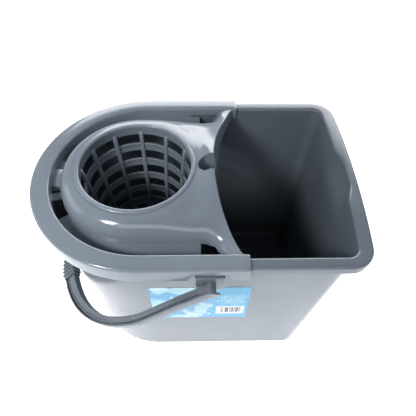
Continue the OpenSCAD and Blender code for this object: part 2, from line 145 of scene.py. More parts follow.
# %% The bucket's outline
RIM_Z, FOOT_Z = 303, 3
BOW_R = 1180
RIM = (132.5, 194.5, 197.45, 35)         # half width, round end, square end, corner radius
TOP = (120.4, 182.4, 182.7, 19)          # the walls' outside at the rim
BASE = (108.4, 170.4, 165, 26)           # the walls' outside at the ground
CORNER_EASE = 0.8                        # the corners are eased into the bow
LEAST_CORNER = 8
SPOUT, SPOUT_HALF, SPOUT_FADE = 6.5, 44, 28      # how far it bulges, half its width, and where it fades
SPOUT_LOW, SPOUT_RISE = 255, 42                  # where it starts, and the height over which it grows
SIDE_N, CORNER_N, BOW_N, END_N = 18, 10, 56, 72


def spout_share(y):
    """1 on the pouring spout, 0 beside it."""
    return smooth((SPOUT_HALF - abs(y)) / SPOUT_FADE)


def outline(size, inset, z, spout=0):
    """The bucket's outline at one height, drawn in by an inset."""
    half_w, left_x, right_x, corner = size
    half_w, left_x, right_x = half_w - inset, left_x - inset, right_x - inset
    r = max(corner - inset, LEAST_CORNER) * CORNER_EASE
    mid_x = half_w - left_x
    corner_y = half_w - r
    corner_x = right_x - BOW_R + math.sqrt((BOW_R - r) ** 2 - corner_y ** 2)
    lean = math.asin(corner_y / (BOW_R - r))
    bow_y = BOW_R * math.sin(lean)
    front = [(mix(mid_x, corner_x, i / SIDE_N), -half_w) for i in range(SIDE_N)]
    turn = [(corner_x + r * math.cos(a), corner_y + r * math.sin(a))
            for a in [mix(lean, math.pi / 2, i / CORNER_N) for i in range(CORNER_N + 1)]]
    bow = []
    for i in range(1, BOW_N):
        y = mix(-bow_y, bow_y, i / BOW_N)
        bow.append((right_x - BOW_R + math.sqrt(BOW_R ** 2 - y * y) + spout * spout_share(y), y))
    back = [(mix(corner_x, mid_x, i / SIDE_N), half_w) for i in range(1, SIDE_N)]
    end = [(mid_x - half_w * math.sin(a), half_w * math.cos(a))
           for a in [math.pi * i / END_N for i in range(END_N)]]
    points = front + [(x, -y) for x, y in reversed(turn)] + bow + turn + back + end
    return [at(x, y, z) for x, y in points]


def wall_size(z):
    t = (z - FOOT_Z) / (RIM_Z - FOOT_Z)
    return tuple(mix(a, b, t) for a, b in zip(BASE, TOP))


def wall_loop(z, inset):
    return outline(wall_size(z), inset, z, spout=SPOUT * smooth((z - SPOUT_LOW) / SPOUT_RISE))


print("points round the outline:", len(outline(RIM, 0, RIM_Z)))

# %% [markdown]
# The wall could be a plane with Solidify, but its thickness changes at the rim and the foot. A loft takes
# any shape: one closed loop of points is pushed out loop after loop, as a potter draws up a wall. In Blender
# that is a circle primitive that is extruded once for each loop. Each point keeps a number of its own,
# which the extrude copies, so that it is known where on the next loop it belongs.

# %% Lofts
def place_loop(piece, loop):
    """Moves the selected points to their own places on a loop."""
    mesh = bmesh.from_edit_mesh(piece.data)
    number = mesh.verts.layers.int["number"]
    for v in mesh.verts:
        if v.select:
            v.co = loop[v[number]]
    bmesh.update_edit_mesh(piece.data)


def loft(name, loops, ends="fill"):
    """A wall through closed loops of points. Its ends are filled, left open, or joined to each other."""
    deselect()
    bpy.ops.mesh.primitive_circle_add(vertices=len(loops[0]), radius=0.1)
    piece = bpy.context.object
    piece.name = piece.data.name = name
    bpy.ops.object.mode_set(mode="EDIT")
    mesh = bmesh.from_edit_mesh(piece.data)
    number = mesh.verts.layers.int.new("number")
    for i, v in enumerate(mesh.verts):
        v[number] = i
    bmesh.update_edit_mesh(piece.data)
    place_loop(piece, loops[0])
    for loop in loops[1:] + (loops[:1] if ends == "join" else []):
        bpy.ops.mesh.extrude_edges_move()
        place_loop(piece, loop)
    bpy.ops.mesh.select_all(action="SELECT")
    if ends == "join":
        bpy.ops.mesh.remove_doubles(threshold=1e-7)
    if ends == "fill":
        bpy.ops.mesh.fill_holes(sides=0)
    bpy.ops.mesh.select_all(action="SELECT")
    bpy.ops.mesh.normals_make_consistent(inside=False)
    bpy.ops.object.mode_set(mode="OBJECT")
    return piece


def open_edges(piece):
    mesh = bmesh.new()
    mesh.from_mesh(piece.data)
    count = sum(1 for e in mesh.edges if len(e.link_faces) != 2)
    mesh.free()
    return count


print("a loft's ends are filled, left open, or joined to each other")

# %% [markdown]
# The shell is one skin with a thickness: from under the floor, round the foot ring, up the outside, out
# under the turned-over rim and over its rounded top, down the inside and across the floor to the raised
# panel in its middle. The pouring spout is a bulge in the square end that fades out downwards.

# %% The bucket's shell
WALL = 2.2
RIM_DROP = 12.7
RIM_T = 2.4
FLOOR_Z = 5.6
EDGE = 3.0            # radius of the rim's edges
FILLET = 9            # radius where the walls meet the floor


def quarter(steps):
    """Sines and cosines from 0 to a right angle."""
    return [(math.sin(a), math.cos(a)) for a in [math.pi / 2 * i / steps for i in range(steps + 1)]]


loops = [outline(BASE, 7, 3), outline(BASE, 7, 0.4), outline(BASE, 6.6, 0), outline(BASE, 2.4, 0),
         outline(BASE, 2, 0.4), outline(BASE, 2, 2.4), outline(BASE, 1.2, 2.9)]
loops += [wall_loop(z, 0) for z in (4.5, 8, 60, 120, 180, 240, 255, 265, 275, 285, 293, 299.5)]
loops.append(outline(TOP, -0.8, RIM_Z - RIM_T, spout=SPOUT))
loops += [outline(RIM, WALL, RIM_Z - RIM_T), outline(RIM, WALL, RIM_Z - RIM_DROP + 0.4),
          outline(RIM, WALL - 0.4, RIM_Z - RIM_DROP), outline(RIM, 0.5, RIM_Z - RIM_DROP),
          outline(RIM, 0, RIM_Z - RIM_DROP + 0.5)]
loops += [outline(RIM, EDGE * (1 - c), RIM_Z - EDGE + EDGE * s) for s, c in quarter(5)]
loops.append(outline(RIM, EDGE + 2, RIM_Z))
loops += [outline(TOP, WALL - EDGE + EDGE * s, RIM_Z - EDGE + EDGE * c, spout=SPOUT)
          for s, c in quarter(5)]
loops += [wall_loop(z, WALL) for z in (295, 288, 280, 272, 264, 255, 240, 180, 120, 60, 30)]
loops += [outline(BASE, WALL + FILLET * (1 - c), FLOOR_Z + FILLET * (1 - s)) for s, c in quarter(6)]
loops += [outline(BASE, 27, FLOOR_Z), outline(BASE, 27.6, FLOOR_Z + 1), outline(BASE, 28.4, FLOOR_Z + 1.2)]
bucket = loft("bucket_moulding", loops)
print("bucket's shell:", len(bucket.data.polygons), "faces,", open_edges(bucket), "open edges")

# %% [markdown]
# Under the rim each long side carries an ear: a hollow box, open below as the mould leaves it, with a boss
# inside that takes the bail's pin. Ears could be lofted with the wall, but a box is simpler: a cube is
# rounded, and its underside is inset and pushed up. Box, boss and bucket are joined by a boolean, and then
# the bore is cut, so that the ear grows out of the wall.

# %% Blocks, rods, bevels and cuts
ROD_SIDES = 48


def rod(name, start, end, radius):
    """A round bar between two places."""
    deselect()
    along = end - start
    bpy.ops.mesh.primitive_cylinder_add(vertices=ROD_SIDES, radius=radius, depth=along.length)
    piece = bpy.context.object
    piece.name = name
    piece.matrix_world = along.to_track_quat("Z", "Y").to_matrix().to_4x4()
    piece.location = (start + end) / 2
    bpy.ops.object.transform_apply(location=True, rotation=True, scale=True)
    return piece


def block(name, low, high):
    """A box between its lowest and highest corners."""
    deselect()
    bpy.ops.mesh.primitive_cube_add(size=1, location=(low + high) / 2, scale=high - low)
    piece = bpy.context.object
    piece.name = name
    bpy.ops.object.transform_apply(location=True, rotation=True, scale=True)
    return piece


def bevel_all(piece, width, segments=3, angle=40):
    only(piece)
    change = piece.modifiers.new("bevel", "BEVEL")
    change.width = width
    change.segments = segments
    change.limit_method = "ANGLE"
    change.angle_limit = math.radians(angle)
    bpy.ops.object.modifier_apply(modifier=change.name)
    return piece


def cut(piece, tool, how="DIFFERENCE"):
    """Takes a tool away from a piece, or adds it, and throws the tool away."""
    only(piece)
    change = piece.modifiers.new("cut", "BOOLEAN")
    change.operation = how
    change.solver = "EXACT"
    change.object = tool
    bpy.ops.object.modifier_apply(modifier=change.name)
    bpy.data.objects.remove(tool)
    return piece


print("a rod has", ROD_SIDES, "sides")

# %% Finishing a piece
def finish_piece(piece, body, nodes, angle=32):
    """Smooth shading up to an angle, and the piece's place in the assembly."""
    only(piece)
    bpy.ops.object.shade_smooth_by_angle(angle=math.radians(angle))
    number = piece.data.attributes.get("number")
    if number:
        piece.data.attributes.remove(number)
    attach(piece, body)
    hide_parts(*nodes)
    print(piece.name, "has", len(piece.data.polygons), "faces and", open_edges(piece), "open edges")


# %% The bail's ears
EAR_FACE, EAR_BACK = 137, 119.3        # its outer face, and its end in the bucket's wall
EAR = (-1, 31, 265, 292)               # left, right, low and high
EAR_EDGE, EAR_WALL, EAR_HOLLOW = 1.2, 2.2, 22.5
PIVOT_X, PIVOT_Z = 16, 279
BOSS_R, BORE_R, BORE_DEEP = 9, 5.05, 14


def ear(side):
    """One ear and its boss, as one solid. Side is -1 at the front and 1 at the back."""
    low = at(EAR[0], min(side * EAR_FACE, side * EAR_BACK), EAR[2])
    high = at(EAR[1], max(side * EAR_FACE, side * EAR_BACK), EAR[3])
    box = bevel_all(block("ear", low, high), EAR_EDGE / 1000)
    bpy.ops.object.mode_set(mode="EDIT")
    bpy.ops.mesh.select_all(action="DESELECT")
    mesh = bmesh.from_edit_mesh(box.data)
    for f in mesh.faces:
        f.select_set(f.normal.z < -0.9)
    bmesh.update_edit_mesh(box.data)
    bpy.ops.mesh.inset(thickness=EAR_WALL / 1000, depth=0)
    bpy.ops.mesh.extrude_region_move(TRANSFORM_OT_translate={"value": (0, 0, EAR_HOLLOW / 1000)})
    bpy.ops.object.mode_set(mode="OBJECT")
    boss = rod("boss", at(PIVOT_X, side * EAR_FACE, PIVOT_Z), at(PIVOT_X, side * EAR_BACK, PIVOT_Z),
               BOSS_R / 1000)
    return cut(box, boss, "UNION")


for side in (-1, 1):
    cut(bucket, ear(side), "UNION")
    cut(bucket, rod("bore", at(PIVOT_X, side * (EAR_FACE + 1), PIVOT_Z),
                    at(PIVOT_X, side * (EAR_FACE - BORE_DEEP), PIVOT_Z), BORE_R / 1000))
finish_piece(bucket, "bucket", ["bucket"], angle=28)

# %% [markdown]
# The wringer's frame is a channel that caps the bucket's rim: a skirt outside, a flat flange on top and the
# gutter's wall inside. It could be a curve with a bevel profile, but over each ear the lower edges step up.
# So it is one profile that is carried round a U: the loops are slices across the frame, from one square end
# round to the other, and each may have heights of its own.

# %% The wringer's U-shaped path
SIDE_X = [57, 56.4, 55, 48, 39, 34, 26, 15, 5.6, -4, -9, -25, -42]
ARC_N = 72
FLANGE_TOP = 306
FLANGE_OUT = 135.5
FLANGE_IN = 115.2
U_MIDDLE_OUT, U_MIDDLE_MOVE = -62, 2


def u_middle(r):
    """The round end's middle: it moves a little from the outer edge to the inner one."""
    share = max(0, min(1, (FLANGE_OUT - r) / (FLANGE_OUT - FLANGE_IN)))
    return U_MIDDLE_OUT + U_MIDDLE_MOVE * share


def u_point(stop, r, z):
    """A place at radius or half width r on one stop of the path."""
    kind, value = stop
    if kind == "front":
        return at(value, -r, z)
    if kind == "back":
        return at(value, r, z)
    a = math.radians(value)
    return at(u_middle(r) - r * math.sin(a), -r * math.cos(a), z)


def u_stops():
    """All the stops, from the front's square end round to the back's."""
    arc = [("end", 180 * i / ARC_N) for i in range(ARC_N + 1)]
    return [("front", x) for x in SIDE_X] + arc + [("back", x) for x in reversed(SIDE_X)]


print("stops on the path:", len(u_stops()))

# %% The flange, its skirt and the gutter's wall
SKIRT_LOW, SKIRT_T = 284, 2.5
WALL_LOW, CHANNEL_T = 288.7, 1.8
FLANGE_UNDER = 303.4
FLANGE_BOW = 0.35                      # the flange's top is this much higher in its middle
OUTER_EDGE_R, INNER_EDGE_R = 3.2, 2.2
EASE_X, EASE_SHARE = 55, 0.35          # the square ends are eased from here on
GAP_TOP = 296
GAP_X = (-9, 39)                       # left and right end of the step over an ear


def low_edge(stop, usual):
    """Height of the lower edge: it steps up over the ears."""
    kind, x = stop
    if kind == "end" or x <= GAP_X[0] or x >= GAP_X[1]:
        return usual
    return max(usual, GAP_TOP)


def flange_slice(stop):
    """The frame's profile at one stop."""
    skirt_z, wall_z = low_edge(stop, SKIRT_LOW), low_edge(stop, WALL_LOW)
    kind, x = stop
    tuck = max(0, x - EASE_X) * EASE_SHARE if kind != "end" else 0
    out, top, under = FLANGE_OUT - tuck, FLANGE_TOP - tuck, FLANGE_OUT - SKIRT_T
    r, edge_r = OUTER_EDGE_R, INNER_EDGE_R
    profile = [(under + 0.5, skirt_z), (out - 0.5, skirt_z), (out, skirt_z + 0.5)]
    profile += [(out - r + r * c, top - r + r * s) for s, c in quarter(5)]
    profile += [(mix(out - r, FLANGE_IN + edge_r, t), top + FLANGE_BOW * math.sin(math.pi * t))
                for t in (0.3, 0.5, 0.7)]
    profile += [(FLANGE_IN + edge_r - edge_r * s, top - edge_r + edge_r * c) for s, c in quarter(4)]
    profile += [(FLANGE_IN, wall_z), (FLANGE_IN + CHANNEL_T, wall_z), (FLANGE_IN + CHANNEL_T, FLANGE_UNDER)]
    profile += [(under, FLANGE_UNDER), (under, skirt_z + 0.5)]
    return [u_point(stop, pr, pz) for pr, pz in profile]


flange = loft("flange", [flange_slice(s) for s in u_stops()])
print("flange:", len(flange.data.polygons), "faces,", open_edges(flange), "open edges")

# %% [markdown]
# Between flange and hump runs the gutter. Its floor is a thin band, left out where the water drains: two
# long slots and two narrow ones at the round end, and both ends by the ears. A raised tab crosses it at
# the far left. The openings could be cut from a whole band, but a boolean leaves ragged edges on such thin
# plates. So the band is lofted in stretches, one between each two openings.

# %% The gutter's floor and its tab
HUMP_HALF_W = 93
BASKET_X = -71.5
GUTTER_TOP, GUTTER_LOW = 291.05, 288.9
GUTTER_END_X, GUTTER_STEP = 5.6, 2.5   # where the floor ends by the ears, and degrees between slices
TAB_LOW, TAB_HIGH = (-176.2, -14, 289.3), (-163.3, 14, 296.8)
FLOOR_STRETCHES = [(-1, 59), (74, 79.5), (82, 98), (100.5, 106), (121, 181)]


def gutter_inner(stop):
    """Radius of the band's inner edge, just inside the hump's foot."""
    kind, value = stop
    reach = HUMP_HALF_W - 1
    if kind != "end":
        return reach
    a, offset = math.radians(value), u_middle(FLANGE_IN) - BASKET_X
    return offset * math.sin(a) + math.sqrt(reach ** 2 - (offset * math.cos(a)) ** 2)


def gutter_slice(stop):
    inner, outer = gutter_inner(stop), FLANGE_IN + 0.6
    profile = [(inner, GUTTER_LOW), (outer, GUTTER_LOW), (outer, GUTTER_TOP + 0.5)]
    profile += [(outer - 1.6, GUTTER_TOP), (inner, GUTTER_TOP)]
    return [u_point(stop, r, z) for r, z in profile]


def gutter_stops(a0, a1):
    """Stops between two angles. Past 0 or 180 degrees the stretch runs on along a straight side."""
    first, last = max(a0, 0), min(a1, 180)
    steps = max(2, round((last - first) / GUTTER_STEP))
    arc = [("end", mix(first, last, i / steps)) for i in range(steps + 1)]
    xs = [x for x in SIDE_X if x <= GUTTER_END_X]
    front = [("front", x) for x in xs] if a0 < 0 else []
    back = [("back", x) for x in reversed(xs)] if a1 > 180 else []
    return front + arc + back


floors = [loft("gutter", [gutter_slice(s) for s in gutter_stops(*ab)]) for ab in FLOOR_STRETCHES]
tab = bevel_all(block("tab", at(*TAB_LOW), at(*TAB_HIGH)), 0.001)
print("gutter stretches:", len(floors))

# %% [markdown]
# The hump and deck are one thin shell. It is lofted from the basket's mouth outwards: each loop is a ring
# round the mouth, the last ones lie on the foot in the gutter and on the deck's edge, and from there the
# loops come back underneath. It could be sculpted, but then it would fit neither the mouth nor the gutter.
# So its height is a formula: a plateau round the basket, a crown that rises towards the handle rest and
# sinks to the flange at both sides, and a shoulder rolled down to the gutter.

# %% The deck's height
PLATEAU = 15.5
CROWN = 7.68
ROLL_W = 24.5
GUTTER_DROP = 12
MOUTH_R = 68.5
TURN_X, TURN_R = 8, 20
TURN_Y = HUMP_HALF_W + TURN_R
DECK_LOW = 2          # height over the rim beside the flange
CROWN_X, CROWN_RUN = -8, 30            # where the crown begins to rise, and over what length
SIDES_X, SIDES_RUN = -60, 100          # where the sides begin to sink, and over what length
FLAT_R, FLAT_RUN = 3.5, 20             # the flat ring round the mouth, and how it fades


def foot_dist(x, y):
    """Distance from the gutter's edge."""
    if x > TURN_X:
        return math.hypot(x - TURN_X, max(0, TURN_Y - abs(y))) - TURN_R
    if x > BASKET_X:
        return HUMP_HALF_W - abs(y)
    return HUMP_HALF_W - math.hypot(x - BASKET_X, y)


def crown(x, y):
    """Height of the deck over the rim, without its shoulder."""
    top = PLATEAU + CROWN * smooth((x - CROWN_X) / CROWN_RUN)
    bell = (1 + math.cos(math.pi * min(1, abs(y) / FLANGE_IN))) / 2
    share = smooth((x - SIDES_X) / SIDES_RUN)
    flat = 1 - smooth((math.hypot(x - BASKET_X, y) - MOUTH_R - FLAT_R) / FLAT_RUN)
    return flat * PLATEAU + (1 - flat) * (DECK_LOW + (top - DECK_LOW) * (1 - share * (1 - bell)))


def roll(d):
    """How far the shoulder has gone down at a distance from the gutter: 0 on top, 1 at its foot."""
    t = max(0.0, min(1.0, 1 - d / ROLL_W))
    return 1 - (1 - t ** 2.6) ** (1 / 2.2)


def deck_z(x, y, d):
    top = crown(x, y)
    return RIM_Z + top - (top + GUTTER_DROP) * roll(max(0, d))


print("deck at the handle rest, mm:", round(deck_z(15, 0, 50), 1))
print("deck at the basket, mm:", round(deck_z(-71, 75, 50), 1))

# %% The deck's stations
EDGE_X, EDGE_R = 22, 250
SKIN = 2.2
APRON_Z = 288.8
APRON_LEAN = 0.12
EDGE_N, SIDE_STEPS, TURN_N, LONG_N, HUMP_N = 40, 6, 14, 22, 44
CORNER_Y, SEAM_Y = FLANGE_IN - 2, FLANGE_IN + 0.8
# Degrees on the mouth at which each stretch of the outline starts, and how many it takes.
EDGE_TURN = 28
SIDE_FROM, SIDE_TURN = 29.5, 5.5
TURN_FROM, TURN_TURN = 37, 14
LONG_FROM, LONG_TURN = 51, 39


def deck_edge(y):
    return EDGE_X + EDGE_R - math.sqrt(EDGE_R ** 2 - y * y)


def half_stations():
    """[outer x, outer y, inset x, inset y, angle on the mouth, 1 on the deck's edge], from +X round to -X."""
    out = []
    for i in range(EDGE_N + 1):
        y = CORNER_Y * i / EDGE_N
        out.append((deck_edge(y), y, deck_edge(y) - SKIN, y, EDGE_TURN * i / EDGE_N, 1))
    start, stop = deck_edge(CORNER_Y) + 1.5, TURN_X + TURN_R
    for i in range(SIDE_STEPS + 1):
        x = mix(start, stop, i / SIDE_STEPS)
        nudge = SKIN if i == SIDE_STEPS else -SKIN if i == 0 else 0
        angle = SIDE_FROM + SIDE_TURN * i / SIDE_STEPS
        out.append((x, SEAM_Y, x + nudge, SEAM_Y - SKIN, angle, 0))
    for i in range(TURN_N + 1):
        a = math.pi / 2 * i / TURN_N
        r = TURN_R + SKIN
        angle = TURN_FROM + TURN_TURN * i / TURN_N
        out.append((TURN_X + TURN_R * math.cos(a), TURN_Y - TURN_R * math.sin(a),
                    TURN_X + r * math.cos(a), TURN_Y - r * math.sin(a), angle, 0))
    for i in range(1, LONG_N + 1):
        x = mix(TURN_X, BASKET_X, i / LONG_N)
        out.append((x, HUMP_HALF_W, x, HUMP_HALF_W - SKIN, LONG_FROM + LONG_TURN * i / LONG_N, 0))
    for i in range(1, HUMP_N + 1):
        a = math.pi / 2 * (1 + i / HUMP_N)
        r = HUMP_HALF_W - SKIN
        out.append((BASKET_X + HUMP_HALF_W * math.cos(a), HUMP_HALF_W * math.sin(a),
                    BASKET_X + r * math.cos(a), r * math.sin(a), math.degrees(a), 0))
    return out


half = half_stations()
stations = half + [(x, -y, ix, -iy, 360 - a, e) for x, y, ix, iy, a, e in reversed(half[1:-1])]
print("stations round the deck:", len(stations))

# %% The deck's shell
RINGS = 26
LIP = 2.0             # radius of the deck's edge


def ring_share(j):
    return 1 - (1 - j / RINGS) ** 1.7


def deck_profile(station):
    """One slice of the shell: out over the top, round the edge, and back underneath."""
    x, y, ix, iy, angle, edge = station
    a = math.radians(angle)
    mx, my = BASKET_X + MOUTH_R * math.cos(a), MOUTH_R * math.sin(a)
    lip = LIP * edge
    profile = []
    for j in range(RINGS + 1):
        t = ring_share(j)
        px, py = mix(mx, x - lip, t), mix(my, y, t)
        profile.append((px, py, deck_z(px, py, foot_dist(px, py))))
    edge_z = profile[-1][2]
    for s, c in quarter(4)[1:]:
        profile.append((x - lip + lip * s, y, edge_z - max(lip, 0.4) * (1 - c)))
    run = edge * APRON_LEAN * (edge_z - APRON_Z)
    profile.append((x + run, y, APRON_Z))
    inner_x = x + run - SKIN if edge else (x + ix) / 2
    profile.append((inner_x, (y + iy) / 2, APRON_Z))
    for j in range(RINGS, -1, -2):
        t = ring_share(j)
        px, py = mix(mx, ix, t), mix(my, iy, t)
        profile.append((px, py, deck_z(px, py, foot_dist(px, py) - SKIN) - SKIN))
    return [at(*p) for p in profile]


slices = [deck_profile(s) for s in stations]
deck = loft("deck", [[s[k] for s in slices] for k in range(len(slices[0]))], ends="join")
print("deck:", len(deck.data.polygons), "faces,", open_edges(deck), "open edges")

# %% [markdown]
# In the middle of the deck's edge a half-round notch holds a mop's handle. It goes right through, with a wall
# of its own hanging down. It could be part of the loft, but the rings would crowd round it, so it is cut with
# a circle whose one half is drawn out square. The wall is a strip round the same outline, its top just under
# the deck's surface, and a fine rolled lip finishes the edge.

# %% The handle rest
REST_X, REST_R, REST_END_X = 15.4, 13, 22.6
REST_STEPS = 28
REST_SINK = 1.2                        # the wall's top lies this far under the deck's surface
KNIFE_X, KNIFE_LOW, KNIFE_HIGH = 60, 280, 340
LIP_R, LIP_SINK, LIP_N = 0.75, 0.35, 10
HIGHEST = 1000 * cad_box[1].z - 0.03


def rest_line(r, far_x):
    """Points from the deck's edge round the rest and back to the edge."""
    arc = [(REST_X - r * math.sin(a), -r * math.cos(a))
           for a in [math.pi * i / REST_STEPS for i in range(REST_STEPS + 1)]]
    straight = [mix(far_x, REST_X, i / 3) for i in range(3)]
    return [(x, -r) for x in straight] + arc + [(x, r) for x in reversed(straight)]


knife_line = rest_line(REST_R, KNIFE_X)
cut(deck, loft("knife", [[at(x, y, z) for x, y in knife_line] for z in (KNIFE_LOW, KNIFE_HIGH)]))
inner, outer = rest_line(REST_R + 0.02, REST_END_X), rest_line(REST_R + SKIN, REST_END_X)
rest_slices = []
for (xi, yi), (xo, yo) in zip(inner, outer):
    top_i = deck_z(xi, yi, foot_dist(xi, yi)) - REST_SINK
    top_o = deck_z(xo, yo, foot_dist(xo, yo)) - REST_SINK
    rest_slices.append([at(xi, yi, APRON_Z), at(xo, yo, APRON_Z), at(xo, yo, top_o), at(xi, yi, top_i)])
rest_wall = loft("rest_wall", rest_slices)


def lip_slice(x, y, out_x, out_y, r):
    """A small ring of points round the notch's upper edge."""
    z = min(deck_z(x, y, foot_dist(x, y)) - LIP_SINK, HIGHEST - r)
    return [at(x + out_x * r * math.cos(b), y + out_y * r * math.cos(b), z + r * math.sin(b))
            for b in [2 * math.pi * k / LIP_N for k in range(LIP_N)]]


lip_slices = []
for (xi, yi), (xo, yo) in zip(inner, outer):
    length = math.hypot(xo - xi, yo - yi)
    lip_slices.append(lip_slice(xi, yi, (xo - xi) / length, (yo - yi) / length, LIP_R))
lip = loft("lip", lip_slices)
print("handle rest: open edges", open_edges(deck), open_edges(rest_wall), open_edges(lip))

# %% The wringer's deck as one piece
def join(name, pieces):
    """Several solids as one piece."""
    deselect()
    for p in pieces:
        p.select_set(True)
    bpy.context.view_layer.objects.active = pieces[0]
    bpy.ops.object.join()
    piece = bpy.context.object
    piece.name = piece.data.name = name
    return piece


wringer = join("wringer_moulding", [deck, flange, rest_wall, lip, tab] + floors)
finish_piece(wringer, "wringer", ["wringer_deck"], angle=34)

# %% [markdown]
# The basket is a cone of hoops and upright ribs, with drain windows between them. It could be a solid cone
# with sixty windows cut out, which is slow and leaves long thin faces. Hoops and ribs give the same windows:
# a hoop is a profile that is spun right round, and its upper edge stands a little proud inside, as a ledge.

# %% The basket's hoops
BASKET_TOP = 318.5
BASKET_DEPTH = 143
BASKET_LOW = BASKET_TOP - BASKET_DEPTH
BOTTOM_R = 55.5
BASKET_T = 2.2
FIRST_WINDOW = 305
WINDOW_H, PITCH, ROWS = 14, 25.8, 5
SPIN_STEPS = 120


def basket_r(z):
    """The inside's radius at one height."""
    t = (BASKET_TOP - z) / BASKET_DEPTH
    return BOTTOM_R + (MOUTH_R - BOTTOM_R) * (1 - t) ** 1.6


def spun(name, profile):
    """A closed profile of radius and height, spun round the basket's axis."""
    deselect()
    bpy.ops.mesh.primitive_circle_add(vertices=len(profile), radius=0.01)
    piece = bpy.context.object
    piece.name = piece.data.name = name
    for v, (r, z) in zip(piece.data.vertices, profile):
        v.co = at(BASKET_X + r, 0, z)
    bpy.ops.object.mode_set(mode="EDIT")
    bpy.ops.mesh.select_all(action="SELECT")
    bpy.ops.mesh.spin(steps=SPIN_STEPS, angle=2 * math.pi, center=at(BASKET_X, 0, 0), axis=(0, 0, 1))
    bpy.ops.mesh.select_all(action="SELECT")
    bpy.ops.mesh.remove_doubles(threshold=1e-6)
    bpy.ops.mesh.normals_make_consistent(inside=False)
    bpy.ops.object.mode_set(mode="OBJECT")
    return piece


def hoop(z0, z1):
    """One hoop between two heights, its upper edge a small ledge inside."""
    r0, r1 = basket_r(z0), basket_r(z1)
    inside = [(r0 + 0.4, z0), (r0, z0 + 0.5), (mix(r0, r1, 0.75), mix(z0, z1, 0.75))]
    ledge = [(r1 - 0.9, z1 - 1.4), (r1 - 1.0, z1 - 0.5), (r1 - 0.6, z1)]
    r0, r1 = r0 + BASKET_T, r1 + BASKET_T
    outside = [(r1 - 0.4, z1), (r1, z1 - 0.5), (r0, z0 + 0.5), (r0 - 0.4, z0)]
    return spun("hoop", inside + ledge + outside)


mouth_in = [(66.9, 305), (66.5, 305.5), (66.5, 312), (66.2, 316.5), (66.1, 318.2), (66.5, 319.4)]
mouth_top = [(67.4, 320.1), (68.6, 320.3), (70.2, 320.2), (71.4, 319.7), (72, 319), (72, 318.6)]
mouth_out = [(68.2, 318.6), (68.2, 315.5), (68.7, 312), (68.8, 305.5), (68.4, 305)]
hoops = [spun("mouth", mouth_in + mouth_top + mouth_out)]
for i in range(1, ROWS):
    hoops.append(hoop(FIRST_WINDOW - i * PITCH, FIRST_WINDOW - (i - 1) * PITCH - WINDOW_H))
hoops.append(hoop(BASKET_LOW, FIRST_WINDOW - (ROWS - 1) * PITCH - WINDOW_H))
print("hoops:", len(hoops))

# %% [markdown]
# There are twelve ribs. One is lofted up the wall, with rounded edges and a rounded cap at its top, and is
# then copied and turned round the axis. The bottom is a flat disc of rings in which every other stretch is
# deleted for the drain slots, and Solidify gives it its thickness.

# %% The basket's ribs
RIB_N, RIB_W, RIB_IN, RIB_TOP = 12, 5.6, 2.2, 309
RIB_ROUND, RIB_STEPS = 1.3, 14


def rib_slice(z, shrink=0.0):
    """A rib's section at one height, its inner corners rounded."""
    r, w = basket_r(z), RIB_W / 2 - shrink
    face, back = r - RIB_IN + shrink, r + BASKET_T - 0.15
    corner = min(RIB_ROUND, w * 0.7)
    half_rib = [(back, w), (face + corner, w), (face + corner * 0.3, w - corner * 0.3), (face, w - corner)]
    profile = half_rib + [(pr, -py) for pr, py in reversed(half_rib)]
    return [at(BASKET_X + pr, py, z) for pr, py in profile]


heights = [BASKET_LOW + 1 + (RIB_TOP - 2 - BASKET_LOW) * i / RIB_STEPS for i in range(RIB_STEPS + 1)]
rib_loops = [rib_slice(z) for z in heights] + [rib_slice(RIB_TOP, 0.5), rib_slice(RIB_TOP + 0.7, 1.3)]
first_rib = loft("rib", rib_loops)
ribs = [first_rib]
for i in range(1, RIB_N):
    only(first_rib)
    bpy.ops.object.duplicate()
    rib = bpy.context.object
    bpy.ops.object.mode_set(mode="EDIT")
    bpy.ops.mesh.select_all(action="SELECT")
    bpy.ops.transform.rotate(value=2 * math.pi * i / RIB_N, orient_axis="Z",
                             center_override=at(BASKET_X, 0, 0))
    bpy.ops.object.mode_set(mode="OBJECT")
    ribs.append(rib)
print("ribs:", len(ribs), "each with a mesh of its own:", len({r.data.name for r in ribs}) == RIB_N)

# %% The basket's bottom
DISC_N = 144
HUB_R, SLOT_IN, SLOT_OUT = 14, 16, 50.5
SLOT_PITCH = 30                        # degrees from one slot to the next, and half of each is open

disc_radii = [HUB_R, SLOT_IN, SLOT_OUT, BOTTOM_R + 1]
disc = loft("bottom", [[at(BASKET_X + r * math.cos(a), r * math.sin(a), BASKET_LOW)
                        for a in [2 * math.pi * k / DISC_N for k in range(DISC_N)]] for r in disc_radii],
            ends="open")
only(disc)
bpy.ops.object.mode_set(mode="EDIT")
bpy.ops.mesh.select_all(action="DESELECT")
mesh = bmesh.from_edit_mesh(disc.data)
middle = at(BASKET_X, 0, BASKET_LOW)
for f in mesh.faces:
    arm = f.calc_center_median() - middle
    off = abs((math.degrees(math.atan2(arm.y, arm.x)) % SLOT_PITCH) - SLOT_PITCH / 2)
    f.select_set(SLOT_IN + 1 < 1000 * arm.length < SLOT_OUT - 0.5 and off < SLOT_PITCH / 4)
bmesh.update_edit_mesh(disc.data)
bpy.ops.mesh.delete(type="FACE")
bpy.ops.mesh.select_all(action="DESELECT")
mesh = bmesh.from_edit_mesh(disc.data)
for e in mesh.edges:
    e.select_set(all(1000 * (v.co - middle).length < HUB_R + 0.1 for v in e.verts))
bmesh.update_edit_mesh(disc.data)
bpy.ops.mesh.edge_face_add()
bpy.ops.mesh.select_all(action="SELECT")
bpy.ops.mesh.normals_make_consistent(inside=False)
bpy.ops.object.mode_set(mode="OBJECT")
thick = disc.modifiers.new("thick", "SOLIDIFY")
thick.thickness = BASKET_T / 1000
thick.offset = 1 if disc.data.polygons[0].normal.z > 0 else -1
bpy.ops.object.modifier_apply(modifier=thick.name)
print("bottom:", len(disc.data.polygons), "faces,", open_edges(disc), "open edges")

